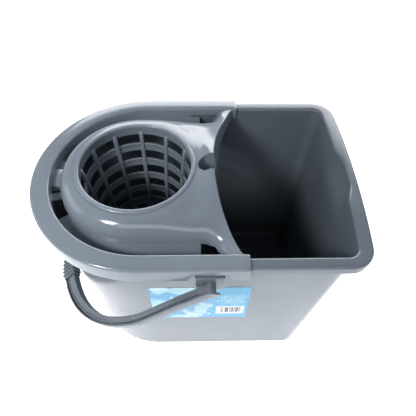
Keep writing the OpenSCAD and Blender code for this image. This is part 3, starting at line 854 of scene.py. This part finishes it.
# %% The basket as one piece
basket = join("basket_moulding", hoops + ribs + [disc])
finish_piece(basket, "wringer", ["basket_hoops", "basket_ribs", "basket_bottom"], angle=34)

# %% [markdown]
# The bail is a hoop with a stiff section: a thin outer wall, a narrow groove behind it, and a broad web with
# a shallow channel. It widens from the arms to the middle, where the hand takes it. A curve with a bevel
# can't change its section like that, so it is a loft too. It is drawn flat in its own plane and then hung
# from the pivot, down over the round end.

# %% The bail's line
HANG = math.radians(35.5)
REACH, BEND_U = 263.5, 95
BAIL_HALF_W, BAIL_W, HAND_W, BAIL_H = 159, 12, 18, 11
ARM_Y, ARM_SPLAY, ARM_LEN = 150.3, 2.8, 40
ARM_STOPS = (0.5, 3, 6, 10, 13, 14, 15, 16, 22, 30, 40)
BEND_STEP, BEND_STEPS = 2.5, 36
WIDE_UNTIL, WIDE_FADE = 70, 45         # degrees from the middle over which the width changes
PIN_Y, BOSS_Y, PIN_R, NOSE = 124.6, 138, 5, 9


def hung(u, v, w):
    """A place in the bail's own plane, u along its arms and v across, where it hangs at rest."""
    x = PIVOT_X - u * math.cos(HANG) - w * math.sin(HANG)
    return at(x, v, PIVOT_Z - u * math.sin(HANG) + w * math.cos(HANG))


def bail_width(stop):
    kind, value, _ = stop
    return BAIL_W if kind == "arm" else mix(BAIL_W, HAND_W, smooth((WIDE_UNTIL - value) / WIDE_FADE))


def bail_line(stop, inset):
    """Place in the plane at one stop: an arm's distance, or an angle round the bend."""
    kind, value, side = stop
    if kind == "arm":
        return value, side * (ARM_Y + ARM_SPLAY * max(0, value) / ARM_LEN - inset)
    a = math.radians(value)
    return BEND_U + (REACH - BEND_U - inset) * math.cos(a), side * (BAIL_HALF_W - inset) * math.sin(a)


def bail_stops():
    """All the stops, from the front arm's end round the bend to the back arm's."""
    arm = [("arm", u, -1) for u in ARM_STOPS]
    bend = [("bend", 90 - BEND_STEP * i, -1) for i in range(BEND_STEPS)]
    return arm + bend + [("bend", 0, -1)] + [(k, v, 1) for k, v, s in reversed(arm + bend)]


print("stops along the bail:", len(bail_stops()))

# %% [markdown]
# Its section is one closed line of insets and heights, the upper half and its mirror image below. The groove
# and the channel fade out near the pivot, where the arm is solid and ends round. There the outer wall alone
# runs on and stops in a slanting cut.

# %% The bail's section
WALL_T, GROOVE_W, GROOVE_D = 2.2, 2.6, 3.8
CHANNEL_D, CHANNEL_EDGE = 1.2, 1.6
SOLID_UNTIL, SINK_RUN = 13, 3          # the arm is solid up to here, and the groove grows over this length


def half_section(width, sink):
    """Insets and heights from the outside to the inside. Sink is 0 where the section is solid."""
    h = BAIL_H / 2
    low, sunk = h - GROOVE_D * sink, h - CHANNEL_D * sink
    g0, g1 = WALL_T, WALL_T + GROOVE_W
    c0, c1 = g1 + CHANNEL_EDGE, width - CHANNEL_EDGE
    outer_wall = [(0, h - 1), (0.3, h - 0.3), (1, h), (g0 - 0.6, h), (g0 - 0.1, h - 0.4)]
    groove = [(g0, low + 0.3), (g0 + 0.3, low), (g1 - 0.3, low), (g1, low + 0.3)]
    web_edge = [(g1 + 0.1, h - 0.4), (g1 + 0.5, h), (c0 - 0.3, h), (c0, h - 0.2)]
    channel = [(c0 + 0.3, sunk), (c1 - 0.3, sunk), (c1, h - 0.2)]
    inner_edge = [(c1 + 0.3, h), (width - 1, h), (width - 0.3, h - 0.3), (width, h - 1)]
    return outer_wall + groove + web_edge + channel + inner_edge


def bail_slice(stop):
    kind, value, _ = stop
    sink = smooth((value - SOLID_UNTIL) / SINK_RUN) if kind == "arm" else 1
    upper = half_section(bail_width(stop), sink)
    section = upper + [(t, -h) for t, h in reversed(upper)]
    return [hung(*bail_line(stop, t), h) for t, h in section]


def nose_piece(side):
    """The outer wall's run past the pivot, cut on a slant, as a plate with softened edges."""
    h = BAIL_H / 2
    slant = [(-0.2 * NOSE, h), (-0.75 * NOSE, -0.1 * h), (-NOSE, -0.5 * h), (-0.95 * NOSE, -0.85 * h)]
    line = [(3, h)] + slant + [(-0.8 * NOSE, -h), (3, -h)]
    plate = loft("nose", [[hung(u, side * v, w) for u, w in line] for v in (ARM_Y - WALL_T, ARM_Y)])
    return bevel_all(plate, 0.0004, segments=2, angle=50)


parts = [loft("bail_moulding", [bail_slice(s) for s in bail_stops()])]
for side in (-1, 1):
    end = rod("arm_end", hung(0, side * BOSS_Y, 0), hung(0, side * (ARM_Y - WALL_T + 0.4), 0), BAIL_H / 2000)
    parts.append(bevel_all(end, 0.0008))
    parts.append(rod("pin", hung(0, side * PIN_Y, 0), hung(0, side * (BOSS_Y + 1), 0), PIN_R / 1000))
    parts.append(nose_piece(side))
bail = join("bail_moulding", parts)
finish_piece(bail, "bail", ["bail"], angle=34)

# %% [markdown]
# The grip is a sleeve round the middle of the bend. Thin ribs stand up from it so that a wet hand doesn't
# slip. The ribs could be rings of their own, but on the real one sleeve and ribs are one moulding. So its
# loops are rounded boxes whose size steps up at each rib and down again, and the last ones go back along
# the inside, so that it is a true sleeve.

# %% The grip
GRIP_HALF, SLEEVE, PROUD = 60, 1.2, 1.6
GRIP_RIBS, RIB_HALF, RIB_MARGIN = 17, 1.2, 4
GRIP_CORNER, CORNER_GROWS, CORNER_STEPS = 1.2, 0.6, 4
INSIDE, INSIDE_STEPS = 0.1, 12         # the gap between the bail and the sleeve, and loops along the inside


def grip_slice(v, out):
    """A rounded box round the bail's section, a distance v from the middle of the bend."""
    angle = math.degrees(math.asin(abs(v) / BAIL_HALF_W))
    stop = ("bend", angle, -1 if v < 0 else 1)
    r = GRIP_CORNER + out * CORNER_GROWS
    wide, high = HAND_W + out - r, BAIL_H / 2 + out - r
    loop = []
    for cx, cy, start in ((wide, high, 0), (r - out, high, 90), (r - out, -high, 180), (wide, -high, 270)):
        for i in range(CORNER_STEPS + 1):
            b = math.radians(start + 90 * i / CORNER_STEPS)
            along, across = bail_line(stop, cx + r * math.cos(b))
            loop.append(hung(along, across, cy + r * math.sin(b)))
    return loop


grip_loops = [grip_slice(-GRIP_HALF, SLEEVE - 0.5), grip_slice(0.4 - GRIP_HALF, SLEEVE)]
top = SLEEVE + PROUD
rib_steps = [(-1.1, SLEEVE), (-0.9, top - 0.3), (-0.6, top), (0.6, top), (0.9, top - 0.3), (1.1, SLEEVE)]
for i in range(GRIP_RIBS):
    v = (i - (GRIP_RIBS - 1) / 2) * 2 * (GRIP_HALF - RIB_MARGIN) / GRIP_RIBS
    grip_loops += [grip_slice(v + offset * RIB_HALF, out) for offset, out in rib_steps]
grip_loops += [grip_slice(GRIP_HALF - 0.4, SLEEVE), grip_slice(GRIP_HALF, SLEEVE - 0.5)]
grip_loops += [grip_slice(mix(GRIP_HALF, -GRIP_HALF, i / INSIDE_STEPS), INSIDE)
               for i in range(INSIDE_STEPS + 1)]
grip = loft("grip_sleeve", grip_loops, ends="join")
finish_piece(grip, "bail", ["bail_grip"], angle=30)

# %% [markdown]
# The label is a printed film on the front wall. It could be painted into the bucket's material, but then it
# would have no edge. So a plane is moved onto the leaning wall, its corners are rounded by a bevel, and it
# is pushed out by a quarter of a millimetre, so that its edge catches the light.

# %% The label
LABEL_X, LABEL_LEN = -58.5, 125.5
LABEL_Z, LABEL_H = 126, 104
LABEL_CORNER, LABEL_T, LABEL_GAP = 2, 0.25, 0.08


def on_front_wall(x, z):
    half_w = wall_size(z)[0]
    return at(x, -half_w - LABEL_GAP, z)


deselect()
bpy.ops.mesh.primitive_plane_add(size=2)
label = bpy.context.object
label.name = label.data.name = "label_film"
for v in label.data.vertices:
    v.co = on_front_wall(LABEL_X + LABEL_LEN * (v.co.x > 0), LABEL_Z + LABEL_H * (v.co.y > 0))
bpy.ops.object.mode_set(mode="EDIT")
bpy.ops.mesh.select_all(action="SELECT")
bpy.ops.mesh.bevel(offset=LABEL_CORNER / 1000, segments=4, affect="VERTICES")
bpy.ops.mesh.select_all(action="SELECT")
bpy.ops.mesh.extrude_region_move(TRANSFORM_OT_translate={"value": (0, -LABEL_T / 1000, 0)})
bpy.ops.mesh.select_all(action="SELECT")
bpy.ops.mesh.normals_make_consistent(inside=False)
bpy.ops.object.mode_set(mode="OBJECT")
finish_piece(label, "bucket", ["front_label"])

# %% [markdown]
# Finishes. All the mouldings are polypropylene, which is never a flat grey: the mould's fine grain breaks up
# the gloss, the sheen changes a little where the plastic flowed or has been handled, and dust settles on what
# faces up. Each material could have its own nodes for them, but all five plastics share them. So these three
# effects are made once as node groups and placed in each material with its own values.

# %% Nodes and groups
def new_group(name, inputs, outputs):
    tree = bpy.data.node_groups.new(name, "ShaderNodeTree")
    for label_text, kind, value in inputs:
        socket = tree.interface.new_socket(label_text, in_out="INPUT", socket_type=kind)
        socket.default_value = value
    for label_text, kind in outputs:
        tree.interface.new_socket(label_text, in_out="OUTPUT", socket_type=kind)
    return tree, tree.nodes.new("NodeGroupInput"), tree.nodes.new("NodeGroupOutput")


def add(tree, kind, **settings):
    node = tree.nodes.new(kind)
    for key, value in settings.items():
        setattr(node, key, value)
    return node


def give(tree, socket, value):
    """Sets a socket to a number, or links another one to it."""
    if isinstance(value, (int, float)):
        socket.default_value = value
    else:
        tree.links.new(value, socket)


def math_node(tree, operation, a, b=0.5, clamp=False):
    """A maths node. Each input is a socket to link or a number, and some operations use only the first."""
    node = add(tree, "ShaderNodeMath", operation=operation, use_clamp=clamp)
    for socket, value in zip(node.inputs, (a, b)):
        give(tree, socket, value)
    return node.outputs[0]


def noise(tree, place, scale, detail=3.0, rough=0.55):
    """Soft random patches, each as small as the scale is large."""
    node = add(tree, "ShaderNodeTexNoise")
    node.inputs["Detail"].default_value = detail
    node.inputs["Roughness"].default_value = rough
    tree.links.new(place, node.inputs["Vector"])
    give(tree, node.inputs["Scale"], scale)
    return node.outputs["Fac"]


def ramp(tree, value, low, high):
    """0 below low, 1 above high, smooth between."""
    node = add(tree, "ShaderNodeMapRange", interpolation_type="SMOOTHSTEP")
    node.inputs["From Min"].default_value = low
    node.inputs["From Max"].default_value = high
    tree.links.new(value, node.inputs["Value"])
    return node.outputs["Result"]


print("node groups so far:", len(bpy.data.node_groups))

# %% Moulded grain: height for a bump, and a slow change of tone
grain_tree, grain_in, grain_out = new_group(
    "moulded_grain",
    [("Grain Size", "NodeSocketFloat", 1400.0), ("Flow Size", "NodeSocketFloat", 9.0)],
    [("Height", "NodeSocketFloat"), ("Flow", "NodeSocketFloat")])
grain_place = add(grain_tree, "ShaderNodeTexCoord").outputs["Object"]
fine = noise(grain_tree, grain_place, grain_in.outputs["Grain Size"], detail=2.0)
wave = noise(grain_tree, grain_place, grain_in.outputs["Flow Size"], detail=3.0)
height = math_node(grain_tree, "ADD", math_node(grain_tree, "MULTIPLY", fine, 0.8),
                  math_node(grain_tree, "MULTIPLY", wave, 0.2))
grain_tree.links.new(height, grain_out.inputs["Height"])
grain_tree.links.new(ramp(grain_tree, wave, 0.3, 0.7), grain_out.inputs["Flow"])
print("group:", grain_tree.name)

# %% Handling: faint scuffs, drawn out in one direction, in patches
scuff_tree, scuff_in, scuff_out = new_group(
    "handling_scuffs",
    [("Amount", "NodeSocketFloat", 0.5)],
    [("Mask", "NodeSocketFloat")])
scuff_place = add(scuff_tree, "ShaderNodeTexCoord").outputs["Object"]
stretch = add(scuff_tree, "ShaderNodeMapping")
stretch.inputs["Scale"].default_value = (110, 1500, 1500)
stretch.inputs["Rotation"].default_value = (0.3, 0.5, 0.7)
scuff_tree.links.new(scuff_place, stretch.inputs["Vector"])
lines = ramp(scuff_tree, noise(scuff_tree, stretch.outputs[0], 1.0, detail=4.0), 0.6, 0.72)
patch = ramp(scuff_tree, noise(scuff_tree, scuff_place, 14.0, detail=2.0), 0.48, 0.68)
scuffed = math_node(scuff_tree, "MULTIPLY", math_node(scuff_tree, "MULTIPLY", lines, patch),
                   scuff_in.outputs["Amount"])
scuff_tree.links.new(scuffed, scuff_out.inputs["Mask"])
print("group:", scuff_tree.name)

# %% Dust: a film on what faces up, in fine flecks
dust_tree, dust_in, dust_out = new_group(
    "settled_dust",
    [("Amount", "NodeSocketFloat", 0.3)],
    [("Mask", "NodeSocketFloat")])
dust_place = add(dust_tree, "ShaderNodeTexCoord").outputs["Object"]
facing = add(dust_tree, "ShaderNodeNewGeometry").outputs["Normal"]
parts_of_facing = add(dust_tree, "ShaderNodeSeparateXYZ")
dust_tree.links.new(facing, parts_of_facing.inputs[0])
faces_up = ramp(dust_tree, parts_of_facing.outputs["Z"], 0.5, 1.0)
flecks = ramp(dust_tree, noise(dust_tree, dust_place, 520.0, detail=5.0, rough=0.7), 0.45, 0.8)
dusted = math_node(dust_tree, "MULTIPLY", math_node(dust_tree, "MULTIPLY", faces_up, flecks),
                   dust_in.outputs["Amount"])
dust_tree.links.new(dusted, dust_out.inputs["Mask"])
print("group:", dust_tree.name)

# %% [markdown]
# The plastic itself. The grain drives a weak bump, the flow changes tone and sheen by a few percent, scuffs
# are paler and duller, and dust is a warm grey film. One function builds it for all five mouldings. The
# Principled shader stays in each material.

# %% Moulded plastic
DUST = (0.55, 0.54, 0.52)
DEEPER, PALER = 0.93, 1.05             # the flow's darkest and palest tone
SCUFF_TONE, SCUFF_SHARE = 0.8, 0.35
DULLER = 0.3                           # how much rougher scuffs and dust are
DUST_AMOUNT, SHEEN_CHANGE, GRAIN_H = 0.06, 0.05, 0.0002


def place_group(tree, group, **values):
    node = add(tree, "ShaderNodeGroup", node_tree=group)
    for key, value in values.items():
        node.inputs[key.replace("_", " ")].default_value = value
    return node


def mix_colour(tree, mask, a, b):
    """Colour a where the mask is 0, b where it is 1. Each is a socket or a colour."""
    node = add(tree, "ShaderNodeMix", data_type="RGBA")
    tree.links.new(mask, node.inputs["Factor"])
    for socket, value in ((node.inputs[6], a), (node.inputs[7], b)):
        if isinstance(value, tuple):
            socket.default_value = (*value, 1)
        else:
            tree.links.new(value, socket)
    return node.outputs[2]


def plastic(name, colour, rough, grain=1400.0, bump=0.05, scuffs=0.15):
    material = bpy.data.materials.new(name)
    material.use_nodes = True
    tree = material.node_tree
    shader = tree.nodes["Principled BSDF"]
    shader.inputs["Specular IOR Level"].default_value = 0.5
    moulded = place_group(tree, grain_tree, Grain_Size=grain)
    handled = place_group(tree, scuff_tree, Amount=scuffs)
    dusty = place_group(tree, dust_tree, Amount=DUST_AMOUNT)
    deep = tuple(c * DEEPER for c in colour)
    pale = tuple(min(1, c * PALER) for c in colour)
    tone = mix_colour(tree, moulded.outputs["Flow"], deep, pale)
    scuffed_tone = tuple(mix(c, SCUFF_TONE, SCUFF_SHARE) for c in colour)
    worn = mix_colour(tree, handled.outputs["Mask"], tone, scuffed_tone)
    film = mix_colour(tree, dusty.outputs["Mask"], worn, DUST)
    tree.links.new(film, shader.inputs["Base Color"])
    flowed = math_node(tree, "MULTIPLY", moulded.outputs["Flow"], SHEEN_CHANGE)
    sheen = math_node(tree, "ADD", flowed, rough - SHEEN_CHANGE / 2)
    by_scuffs = math_node(tree, "MULTIPLY", handled.outputs["Mask"], DULLER)
    duller = math_node(tree, "ADD", sheen, by_scuffs)
    by_dust = math_node(tree, "MULTIPLY", dusty.outputs["Mask"], DULLER)
    tree.links.new(math_node(tree, "ADD", duller, by_dust, clamp=True), shader.inputs["Roughness"])
    relief = add(tree, "ShaderNodeBump")
    relief.inputs["Strength"].default_value = bump
    relief.inputs["Distance"].default_value = GRAIN_H
    tree.links.new(moulded.outputs["Height"], relief.inputs["Height"])
    tree.links.new(relief.outputs["Normal"], shader.inputs["Normal"])
    return material


def wear(piece, material):
    """Gives a piece its one material."""
    piece.data.materials.clear()
    piece.data.materials.append(material)
    print(piece.name, "is", material.name)


GREY = (0.165, 0.190, 0.220)


def tone_of(share):
    """The one grey of all the mouldings, a little lighter or darker."""
    return tuple(c * share for c in GREY)


wear(bucket, plastic("bucket_plastic", tone_of(0.80), rough=0.22))
wear(wringer, plastic("wringer_plastic", tone_of(1.08), rough=0.16))
wear(basket, plastic("basket_plastic", tone_of(1.1), rough=0.24))
wear(bail, plastic("bail_plastic", tone_of(0.85), rough=0.26, scuffs=0.3))
wear(grip, plastic("grip_plastic", tone_of(0.75), rough=0.4, grain=900.0, bump=0.15, scuffs=0.4))

# %% [markdown]
# The label's print could be an image, but then a picture file would have to travel with the part. So it is
# drawn from the label's own place: which panel a point lies in, which line, which bar. Soft blotches stand
# for its picture and plain lines for its text, so it carries no words and no mark.

# %% Places on the label
PANEL_X = 21
BOX_X, BOX_Z = (25.6, 63.5), (139.5, 168)
BARS_X, BARS_Z, BAR_W = (33, 58), (146, 163), 0.0011             # the bars' width is in metres
LINES_X, LINES_Z, LINE_PITCH, LINE_SHARE = (26, 62), (176, 204), 0.0048, 0.38     # so is the lines' pitch
STRIPE_X, STRIPE_Z = (-8, 14), (147, 149)

print_material = bpy.data.materials.new("label_print")
print_material.use_nodes = True
sheet = print_material.node_tree
sheet_shader = sheet.nodes["Principled BSDF"]
sheet_place = add(sheet, "ShaderNodeTexCoord").outputs["Object"]
sheet_split = add(sheet, "ShaderNodeSeparateXYZ")
sheet.links.new(sheet_place, sheet_split.inputs[0])
sheet_x, sheet_z = sheet_split.outputs["X"], sheet_split.outputs["Z"]


def both(a, b):
    """1 where both masks are 1."""
    return math_node(sheet, "MULTIPLY", a, b)


def inside(value, low, high):
    """1 between two heights or places, in metres."""
    return both(math_node(sheet, "GREATER_THAN", value, low), math_node(sheet, "LESS_THAN", value, high))


def span_x(pair):
    return inside(sheet_x, at(pair[0], 0, 0).x, at(pair[1], 0, 0).x)


def span_z(pair):
    return inside(sheet_z, pair[0] / 1000, pair[1] / 1000)


def steps_of(value, size):
    """A random number that stays the same over each step of a size."""
    white = add(sheet, "ShaderNodeTexWhiteNoise", noise_dimensions="1D")
    step = math_node(sheet, "FLOOR", math_node(sheet, "DIVIDE", value, size))
    sheet.links.new(step, white.inputs["W"])
    return white.outputs["Value"]


def blotches(size, low, high):
    return ramp(sheet, noise(sheet, sheet_place, size, detail=1.0), low, high)


print("steps across the label's bars:", round((BARS_X[1] - BARS_X[0]) / 1000 / BAR_W))

# %% The label's print
PALE_BLUE, DEEP_BLUE, FOAM = (0.26, 0.46, 0.53), (0.06, 0.26, 0.46), (0.40, 0.54, 0.58)
PANEL_BLUE, LINE_BLUE = (0.05, 0.28, 0.46), (0.38, 0.50, 0.54)
BOX_WHITE, BAR_INK, STRIPE_WHITE = (0.46, 0.48, 0.49), (0.05, 0.05, 0.06), (0.48, 0.55, 0.57)

face = mix_colour(sheet, blotches(26.0, 0.46, 0.50), PALE_BLUE, DEEP_BLUE)
face = mix_colour(sheet, blotches(60.0, 0.60, 0.63), face, FOAM)
panel = math_node(sheet, "GREATER_THAN", sheet_x, at(PANEL_X, 0, 0).x)
face = mix_colour(sheet, panel, face, PANEL_BLUE)
along_row = math_node(sheet, "FRACT", math_node(sheet, "DIVIDE", sheet_z, LINE_PITCH))
row = math_node(sheet, "LESS_THAN", along_row, LINE_SHARE)
words = both(both(row, span_z(LINES_Z)), span_x(LINES_X))
broken = math_node(sheet, "GREATER_THAN", noise(sheet, sheet_place, 160.0, detail=2.0), 0.42)
face = mix_colour(sheet, both(both(words, broken), 0.75), face, LINE_BLUE)
face = mix_colour(sheet, both(span_x(BOX_X), span_z(BOX_Z)), face, BOX_WHITE)
bar = math_node(sheet, "LESS_THAN", steps_of(sheet_x, BAR_W), 0.5)
face = mix_colour(sheet, both(both(bar, span_x(BARS_X)), span_z(BARS_Z)), face, BAR_INK)
face = mix_colour(sheet, both(span_x(STRIPE_X), span_z(STRIPE_Z)), face, STRIPE_WHITE)
sheet.links.new(face, sheet_shader.inputs["Base Color"])

# %% The film's gloss
FILM_ROUGH, FILM_CHANGE, FILM_BUMP, FILM_H = 0.22, 0.12, 0.06, 0.0005

film_grain = place_group(sheet, grain_tree, Grain_Size=500.0, Flow_Size=30.0)
film_sheen = math_node(sheet, "MULTIPLY", film_grain.outputs["Flow"], FILM_CHANGE)
sheet.links.new(math_node(sheet, "ADD", film_sheen, FILM_ROUGH), sheet_shader.inputs["Roughness"])
film_bump = add(sheet, "ShaderNodeBump")
film_bump.inputs["Strength"].default_value = FILM_BUMP
film_bump.inputs["Distance"].default_value = FILM_H
sheet.links.new(film_grain.outputs["Height"], film_bump.inputs["Height"])
sheet.links.new(film_bump.outputs["Normal"], sheet_shader.inputs["Normal"])
wear(label, print_material)

# %% [markdown]
# The set is a plain pale floor that runs out to white. It could be a curved backdrop, but a floor that glows
# a little is simpler and stays even. A broad soft light stands behind, and its sheen lies on the deck. A
# small softbox like a window at the front left draws the hump, a low narrow strip lights the front wall but
# not the skirt over it, and two weak fills do the rest. The room is dark towards the front and left.

# %% The floor
FLOOR_SIZE, FLOOR_GLOW = 6, 0.8

deselect()
bpy.ops.mesh.primitive_plane_add(size=FLOOR_SIZE, location=(0, 0, 0))
floor = bpy.context.object
floor.name = "floor"
paper = bpy.data.materials.new("pale_paper")
paper.use_nodes = True
paper_shader = paper.node_tree.nodes["Principled BSDF"]
paper_shader.inputs["Base Color"].default_value = (0.93, 0.93, 0.93, 1)
paper_shader.inputs["Roughness"].default_value = 0.9
paper_shader.inputs["Specular IOR Level"].default_value = 0.1
paper_shader.inputs["Emission Color"].default_value = (1, 1, 1, 1)
paper_shader.inputs["Emission Strength"].default_value = FLOOR_GLOW
floor.data.materials.append(paper)
print("floor:", FLOOR_SIZE, "m across")


# %% The lights
def softbox(name, place, target, size, power, colour=(1, 1, 1)):
    """A soft light at a place, turned to its target. Places and size are in metres, power in watts."""
    deselect()
    bpy.ops.object.light_add(type="AREA", location=place)
    light = bpy.context.object
    light.name = name
    light.data.shape = "RECTANGLE"
    light.data.size, light.data.size_y = size
    light.data.energy = power
    light.data.color = colour
    light.rotation_euler = (Vector(target) - Vector(place)).to_track_quat("-Z", "Y").to_euler()
    return light


softbox("back_sky", (0.25, 1.7, 1.25), (0.05, 0, 0.3), (2.2, 0.9), 36)
softbox("window", (-0.62, -0.62, 1.05), (-0.1, 0, 0.3), (0.20, 0.26), 9)
softbox("left_fill", (-1.6, 0.1, 0.7), (0, 0, 0.2), (1.0, 0.8), 4)
softbox("front_soft", (0.1, -1.15, 1.25), (0, 0, 0.3), (1.6, 0.6), 7)
strip = softbox("front_strip", (0.2, -1.3, 0.11), (0, 0, 0.10), (1.9, 0.16), 0.26, colour=(0.90, 0.92, 1.0))
strip.data.spread = math.radians(15)

# %% The room
DARK_SIDE, BRIGHT_SIDE, OVERHEAD = (0.16, 0.18, 0.22), (0.82, 0.86, 0.95), (0.10, 0.11, 0.13)
ROOM_STRENGTH = 0.8

world = bpy.data.worlds.new("studio")
bpy.context.scene.world = world
world.use_nodes = True
sky = world.node_tree
sky_place = add(sky, "ShaderNodeSeparateXYZ")
sky.links.new(add(sky, "ShaderNodeTexCoord").outputs["Generated"], sky_place.inputs[0])
sky_dark = ramp(sky, sky_place.outputs["Z"], 0.05, 0.95)
sky_right = math_node(sky, "MULTIPLY", sky_place.outputs["X"], 0.8)
sky_turn = math_node(sky, "ADD", sky_place.outputs["Y"], sky_right)
sky_side = ramp(sky, sky_turn, -0.8, 0.8)
sky_low = mix_colour(sky, sky_side, DARK_SIDE, BRIGHT_SIDE)
sky_tone = mix_colour(sky, sky_dark, sky_low, OVERHEAD)
sky.links.new(sky_tone, sky.nodes["Background"].inputs["Color"])
sky.nodes["Background"].inputs["Strength"].default_value = ROOM_STRENGTH
bpy.context.scene.view_settings.view_transform = "Standard"
bpy.context.scene.view_settings.look = "Medium High Contrast"
print("look:", bpy.context.scene.view_settings.look)
